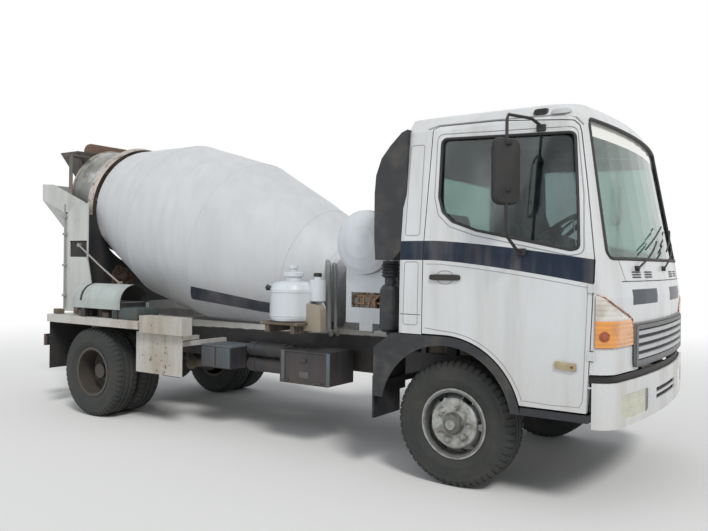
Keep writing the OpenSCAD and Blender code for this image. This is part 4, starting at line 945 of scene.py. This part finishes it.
def make_front():
    def line(points, out):
        return [face(p[0], p[1], out) for p in points]

    # Wipers
    for start, end in ((-0.6, -0.06), (0.04, 0.58)):
        arm = [between((start, 1.475), (end, 1.66), t / 8) for t in range(9)]
        form.tube([face(y, z, 0.016 + 0.012 * sin(pi * t / 8)) for t, (y, z) in enumerate(arm)], 0.0065, 8)
        form.tube([face(start, 1.475, -0.004), face(start, 1.475, 0.024)], 0.017, 14)
        form.tube(line(zip(row(end - 0.3, 0.075, 9), row(1.6, 0.022, 9)), 0.01), 0.006, 6)
    form.piece("wipers", "seal", "cab")
    # Washer vent slots, the seam over the grille and the ones at its ends
    for y in (-0.6, -0.36, 0.36, 0.6):
        for z in row(1.452, -0.016, 3):
            form.pad(ellipse(y, z, 0.085, 0.0045, 20, 4), lambda p, d: face(p.x, p.y, d), 0.003)
    form.tube(line([(y, 1.395) for y in row(-0.86, 0.043, 41)], -0.0016), 0.0036, 6)
    for sign in (-1, 1):
        form.tube(line([(sign * 0.725, z) for z in row(0.856, 0.03, 11)], -0.0018), 0.0032, 6)
        form.tube(line([(sign * (0.8 + 0.006 * i), 1.395 + 0.013 * i) for i in range(11)], -0.0018), 0.0028, 6)
    form.piece("front_vents", "seal", "cab")
    # Dark panel behind the grille's slats, and the frame round them
    form.join([[face(y, z, out) for z, out in ((0.892, -0.002), (0.892, 0.003), (1.113, 0.003), (1.113, -0.002))]
               for y in row(-0.7, 0.05, 29)])
    form.piece("grille_back", "seal", "cab")
    rim = rounded([(-0.725, 1.132), (0.725, 1.132), (0.718, 0.873), (-0.718, 0.873)], 0.03)
    form.loop(line(dense(rim), 0.01), 0.008, 8)
    form.piece("grille_frame", "trim", "cab")
    # Dark strip on the bumper's top edge, and a dark strip behind its slots as painted shade in them
    up = (0, 0, 1)
    form.strap(bumper_ring(0.028, 0.81825), up, 0.0395, 0.013)
    form.strap([p for p in bumper_ring(0.022, 0.6575) if abs(p[1]) < 0.42], up, 0.115, 0.004)
    form.piece("bumper_strip", "seal")
    # Bumper: pressed line and the soft lips round the lamps
    form.tube(bumper_ring(0.005, 0.772), 0.0048, 6)
    for sign in (-1, 1):
        lip = dense(rounded([(0.474, 0.568), (0.926, 0.568), (0.926, 0.722), (0.474, 0.722)], 0.03), 0.02)
        form.loop([(FX + front_at(bumper_half(0.0), q.x) - 0.006, sign * q.x, q.y) for q in lip], 0.0055, 8)
    form.piece("bumper_line", "cab")


def bumper_half(inset):
    return half_front(1.15 - inset, 1.08 - inset, 0.15, 0.08, 10)


def bumper_ring(inset, z):
    """The bumper's outline at height z, from its right end to its left."""
    points = bumper_half(inset)
    return [(FX + x, y, z) for x, y in [(x, -y) for x, y in reversed(points[1:])] + points]


def make_mirrors():
    arm = [(0.59, 0.976, 2.325), (0.585, 1.01, 2.355), (0.56, 1.086, 2.385), (0.48, 1.255, 2.388),
           (0.475, 1.265, 2.36), (0.475, 1.265, 2.0), (0.475, 1.265, 1.69), (0.48, 1.25, 1.655),
           (0.497, 1.145, 1.58), (0.504, 1.075, 1.567)]
    # Clamps on the arm and its two feet: centre, half size
    blocks = ((0.475, 1.265, 2.222, 0.028, 0.022, 0.017), (0.475, 1.265, 1.942, 0.028, 0.022, 0.017),
              (0.59, 1.000, 2.338, 0.03, 0.008, 0.022), (0.503, 1.083, 1.568, 0.03, 0.008, 0.022))
    outline = rounded([(-0.092, -0.198), (0.092, -0.198), (0.092, 0.198), (-0.092, 0.198)], 0.06)
    for side, sign in SIDES:
        form.tube([(FX + x, sign * y, z) for x, y, z in arm], 0.01, 10)
        for x, y, z, dx, dy, dz in blocks:
            form.box((FX + x - dx, sign * y - dy, z - dz), (FX + x + dx, sign * y + dy, z + dz), 0.006)
        turn = Matrix.Rotation(radians(32 * sign), 3, "Z")
        mid = Vector((FX + 0.463, sign * 1.27, 2.05))
        head = [Vector((p.x - 0.018 * sign, p.y)) for p in outline]

        def spot(q, out):
            return mid + turn @ Vector((out, q.x, q.y))

        form.pad(head, lambda q, d: spot(q, d - 0.016), 0.03, 0.012)
        form.loop([spot(q, -0.019) for q in head], 0.006, 8)
        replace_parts(form.piece("mirror_body_" + side, "seal", "door_" + side), "mirror_" + side)
        form.pad([q * 0.94 for q in head], lambda q, d: spot(q, -0.018 - d), 0.004)
        form.piece("mirror_face_" + side, "mirror", "door_" + side)


# ---- drum
# The drum's outside: distance along the axis, radius
DRUM_ROWS = [(-0.13, 0.2), (-0.11, 0.32), (-0.06, 0.41), (0.0, 0.455), (0.33, 0.585), (0.52, 0.643), (1.24, 0.818),
             (2.11, 0.818), (2.93, 0.59), (2.972, 0.505), (3.09, 0.503), (3.58, 0.455)]


def drum_point(along, radius, angle):
    """A point in the drum's frame: angle 0 is the right-hand side, 90 degrees is up."""
    up, y = radius * sin(angle), -radius * cos(angle)
    return (DRUM.x - along * cos(TILT) + up * sin(TILT), y, DRUM.z + along * sin(TILT) + up * cos(TILT))


def drum_radius(along):
    return lookup(DRUM_ROWS, along)[1]


def make_drum_details():
    # Weld beads round the drum, and the collars behind the track ring and at the mouth
    for along, size in ((0.33, 0.0045), (1.24, 0.0035), (1.68, 0.003), (2.11, 0.0035), (2.52, 0.003)):
        r = drum_radius(along) - size * 0.35
        form.loop([drum_point(along, r, a) for a in turns(120)], size, 6)
    for along, end in ((3.13, 3.16), (3.542, 3.578)):
        r0, r1 = drum_radius(along), drum_radius(end)
        form.lathe([(r0 - 0.006, along - 0.004), (r0 + 0.006, along), (r0 + 0.01, along + 0.004),
                    (r1 + 0.01, end - 0.004), (r1 + 0.006, end), (r1 - 0.006, end + 0.002)], DRUM, AXIS, 96)
    form.piece("drum_beads", "drum", "drum", 30)
    # Lugs on both sides of the track ring
    lug = ((0.498, -0.03), (0.498, 0.03), (0.575, 0.03), (0.575, -0.03))
    for a in turns(12):
        for along in (2.978, 3.082):
            form.join([[drum_point(along + d, r, a + t) for r, t in lug] for d in (-0.008, 0.008)])
    form.piece("ring_lugs", "rusty", "drum", 20)
    # Two spiral mixing blades inside the mouth
    section = ((0, 0), (0.5, 0), (1.0, 0), (1.0, 0.008), (0.5, 0.008), (0, 0.008))
    for start in (0, pi):
        rings = []
        for t in (i / 72 for i in range(73)):
            along, a, deep = 1.9 + 1.64 * t, start + 2 * pi * 1.55 * t, 0.22 - 0.1 * t
            r = drum_radius(along) - 0.013
            rings.append([drum_point(along + 0.05 * k + thick, r - deep * k, a) for k, thick in section])
        form.join(rings)
    form.piece("mixing_blades", "rusty", "drum", 40)
    # Studs round the drive flange
    for a in turns(16):
        form.lathe([(0.013, 0.0), (0.013, 0.018), (0.0, 0.021)], drum_point(-0.131, 0.182, a), -AXIS, 6)
    form.piece("drive_studs", "engine", "drum", 20)


# ---- tail, tanks, underbody
def make_tail():
    # Light strut with its end pins
    form.tube([(FX - 4.467, -0.715, 1.644), (FX - 4.09, -0.745, 1.442), (FX - 3.721, -0.775, 1.262)], 0.009, 8)
    for x, y, z in ((FX - 4.467, -0.712, 1.644), (FX - 3.721, -0.775, 1.262)):
        form.tube([(x, y - 0.012, z), (x, y + 0.022, z)], 0.02, 12)
    form.piece("light_strut", "chute")
    # Water pipe up the pedestal, with its clips
    x, y = RX - 0.925, -0.718
    form.tube([(x, y, 0.97), (x, y, 1.3), (x, y, 1.95), (RX - 0.93, -0.716, 2.08)], 0.01, 10)
    for z in (1.1, 1.42, 1.75, 1.93):
        form.box((RX - 0.948, -0.734, z), (RX - 0.902, -0.7, z + 0.024), 0.004)
    form.piece("water_pipe", "hose")
    # Strap over the spare chute, and the rolled edges along it
    arc = (radians(2 + 176 * i / 22) for i in range(23))
    form.strap([(RX - 0.14, -0.9 - 0.1695 * cos(a), 1.096 + 0.1695 * sin(a)) for a in arc], (1, 0, 0), 0.026, 0.004)
    form.piece("chute_straps", "seal")
    for y in (-0.1675, 0.1675):
        form.box((RX - 0.279, -0.902 + y, 1.034), (RX + 0.439, -0.898 + y, 1.1))
        form.tube([(RX + 0.438, -0.9 + y, 1.036), (RX - 0.278, -0.9 + y, 1.036)], 0.006, 8)
    form.piece("spare_chute_edge", "chute_white")
    # Odds and ends stowed under the chute: timber blocks, and a dark block at the near end
    floor = 0.9445
    for x, y, long, wide, high in ((-0.62, -0.98, 0.1, 0.07, 0.05), (-0.47, -0.86, 0.13, 0.06, 0.07),
                                   (-0.16, -0.99, 0.16, 0.06, 0.06), (0.02, -0.92, 0.12, 0.1, 0.08),
                                   (0.16, -0.99, 0.09, 0.05, 0.05)):
        turn = Matrix.Rotation(random.uniform(-0.4, 0.4), 3, "Z")
        form.box((RX + x - long / 2, y - wide / 2, floor), (RX + x + long / 2, y + wide / 2, floor + high), 0.006, turn)
    form.piece("stowed_blocks", "rusty")
    form.box((RX + 0.305, -1.055, floor), (RX + 0.66, -0.8, 1.052), 0.012)
    for y in (-0.99, -0.9):
        form.box((RX + 0.29, y, 0.96), (RX + 0.676, y + 0.022, 1.058), 0.004)
    form.piece("deck_block", "teal")
    # Rust-brown patch low on the splash sheet
    patch = [(-0.4, 1.2), (-0.3, 1.225), (-0.12, 1.222), (-0.085, 1.29), (-0.19, 1.405), (-0.33, 1.44),
             (-0.39, 1.37)]
    form.pad(rounded(patch, 0.02, 3), lambda q, d: (RX - 0.56 + d, q.x, q.y), 0.005)
    form.piece("sheet_patch", "rusty")
    # Dark sheets in the pedestal plates' openings, painted shade inside them
    for side, sign in SIDES:
        y = sign * 0.684
        form.box((RX - 0.864, y - 0.004, 1.515), (RX - 0.566, y + 0.004, 1.695), 0.002)
        form.piece("opening_cover_" + side, "sheet")


def make_tank_details():
    # Straps, weld seams and filler of the water tank
    cx, cz, r = FX - 0.93, 1.65, 0.245
    up = (0, 0, 1)

    def hoop(y, r, angles):
        return [(cx + r * cos(a), y, cz + r * sin(a)) for a in angles]

    for y in (-0.625, 0.625):
        form.strap(hoop(y, r + 0.003, turns(48) + [2 * pi]), (0, 1, 0), 0.04, 0.005)
    form.piece("tank_straps", "chute")
    for y in (-0.68, 0.0, 0.68):
        form.loop(hoop(y, r - 0.001, turns(72)), 0.003, 6)
    form.lathe([(0.07, -0.01), (0.07, 0.02), (0.062, 0.026), (0.062, 0.04), (0.05, 0.048), (0.0, 0.05)],
               (cx, 0.3, cz + r - 0.004), up, 32)
    form.piece("tank_seams", "vessel")
    # Beads, lid bolts and valve of the pressure bottle
    bx, by = FX - 1.567, -0.745
    for z in (1.06, 1.25):
        form.loop([(bx + 0.1895 * cos(a), by + 0.1895 * sin(a), z) for a in turns(64)], 0.0035, 6)
    form.studs([(0.008, -0.002), (0.008, 0.008), (0.0, 0.01)], (bx, by, 1.398), up, 0.077, 8)
    form.piece("bottle_beads", "vessel", smooth=30)
    form.tube([(bx - 0.13, by - 0.12, 1.275), (bx - 0.16, by - 0.145, 1.285)], 0.02, 14)
    form.lathe([(0.026, 0.0), (0.026, 0.012), (0.012, 0.014), (0.012, 0.022), (0.0, 0.023)],
               (bx - 0.15, by - 0.137, 1.282), (-0.74, -0.67, 0.1), 16)
    form.piece("bottle_valve", "seal")
    # Cap on the canister, hoses that run down behind it, and the beige cover under it
    form.lathe([(0.034, -0.002), (0.034, 0.02), (0.026, 0.028), (0.0, 0.029)], (FX - 1.352, -0.7, 1.378), up, 20)
    form.piece("canister_cap", "seal")
    for x, y, z, r in ((FX - 1.405, -0.47, 1.52, 0.018), (FX - 1.355, -0.445, 1.48, 0.014)):
        corners = [Vector(p) for p in ((x - 0.1, y + 0.1, z), (x - 0.03, y + 0.03, 1.47), (x, y, 1.4), (x, y, 1.15),
                                       (x + 0.01, y - 0.01, 0.93), (x + 0.01, y + 0.03, 0.88))]
        points = [a + (b - a) * t / 14 for a, b in zip(corners, corners[1:]) for t in range(14)]
        form.tube(points, r, 12)
        rib = [(r - 0.002, -0.004), (r + 0.003, -0.002), (r + 0.003, 0.002), (r - 0.002, 0.004)]
        for p, q in zip(points, points[1:]):
            form.lathe(rib, p, (q - p).normalized(), 12)
    form.piece("ribbed_hoses", "hose")
    # Rust-coloured pipework seen through the bracket's cut-out
    for x in row(FX - 1.1, 0.034, 11):
        y = random.uniform(-0.6, -0.56)
        z = 1.15 + random.uniform(0.0, 0.02)
        path = [(x, y, z - 0.05), (x + random.uniform(-0.02, 0.02), y, z + 0.05), (x + 0.05, y + 0.02, z + 0.11),
                (x + 0.09, y + 0.03, z + 0.11)]
        form.tube(path, random.uniform(0.006, 0.012), 8)
    for z in (1.165, 1.225):
        form.tube([(FX - 1.12, -0.585, z), (FX - 0.72, -0.575, z + 0.015)], 0.009, 8)
    form.piece("bracket_pipes", "copper")
    wedge = [(-1.436, 0.94), (-1.244, 0.94), (-1.252, 1.12), (-1.29, 1.15), (-1.4, 1.165), (-1.425, 1.14)]
    form.join([[(FX + x, y, z) for x, z in wedge] for y in (-0.8, -0.712)])
    form.soften(form.bm.edges, 0.01)
    form.piece("beige_cover", "beige")


def make_underbody():
    # Battery box: two ribbed panels with a gap, and the lid
    for start in (FX - 2.548, FX - 2.368):
        form.box((start, -0.8065, 0.566), (start + 0.156, -0.799, 0.738), 0.003)
        for x in row(start + 0.01, 0.02, 7):
            form.box((x, -0.812, 0.575), (x + 0.011, -0.8055, 0.728), 0.002)
    form.box((FX - 2.556, -0.806, 0.741), (FX - 2.194, -0.494, 0.757), 0.006)
    form.piece("ribbed_panels", "panel", smooth=30)
    # Framed box: raised frame, latch and hinges
    rim = [(FX - 1.6, 0.535), (FX - 1.14, 0.535), (FX - 1.14, 0.78), (FX - 1.6, 0.78)]
    form.loop([(q.x, -0.851, q.y) for q in rounded(rim, 0.02)], 0.007, 8)
    form.box((FX - 1.4, -0.862, 0.7), (FX - 1.34, -0.849, 0.73), 0.004)
    for x in (FX - 1.55, FX - 1.22):
        form.tube([(x - 0.03, -0.856, 0.545), (x + 0.03, -0.856, 0.545)], 0.009, 10)
    # Straps of the air tanks, then straps and cap of the fuel tank on the left
    across = (1, 0, 0)
    for z in (0.6, 0.73):
        for x in (FX - 2.07, FX - 1.74):
            path = [(x, -0.6 + 0.0645 * cos(a), z + 0.0645 * sin(a)) for a in turns(24) + [2 * pi]]
            form.strap(path, across, 0.026, 0.004)
    for x in (FX - 2.36, FX - 1.76):
        form.strap([(x, 0.505, 0.843), (x, 0.933, 0.843), (x, 0.933, 0.53)], across, 0.04, 0.005)
    form.lathe([(0.042, -0.002), (0.042, 0.02), (0.036, 0.028), (0.0, 0.03)], (FX - 2.05, 0.8, 0.84), (0, 0, 1), 24)
    form.piece("box_fittings", "box", smooth=30)
    # Two uprights and a small plate on the framed box
    for x in (FX - 1.575, FX - 1.125):
        form.box((x - 0.016, -0.86, 0.53), (x + 0.016, -0.849, 0.786), 0.003)
    form.box((FX - 1.41, -0.8535, 0.575), (FX - 1.32, -0.849, 0.625), 0.002)
    form.piece("frame_uprights", "panel", smooth=30)
    # Pale edges and ribs on the rubber flap behind each front wheel
    for side, sign in SIDES:
        for y in (0.704, 1.062):
            form.tube([(FX - 0.5845, sign * y, 0.402), (FX - 0.5845, sign * y, 0.698)], 0.003, 6)
        for y in row(0.76, 0.06, 5):
            form.tube([(FX - 0.5835, sign * y, 0.41), (FX - 0.5835, sign * y, 0.69)], 0.002, 6)
        form.piece("flap_ribs_" + side, "sheet")


bpy.context.scene.view_settings.view_transform = "Standard"
for make in (make_camera, make_world, make_stage, dress_nodes, make_tyres, make_seats, make_seals, make_cab_trim,
             make_front, make_mirrors, make_wheel_details, make_drum_details, make_tail, make_tank_details,
             make_underbody):
    make()
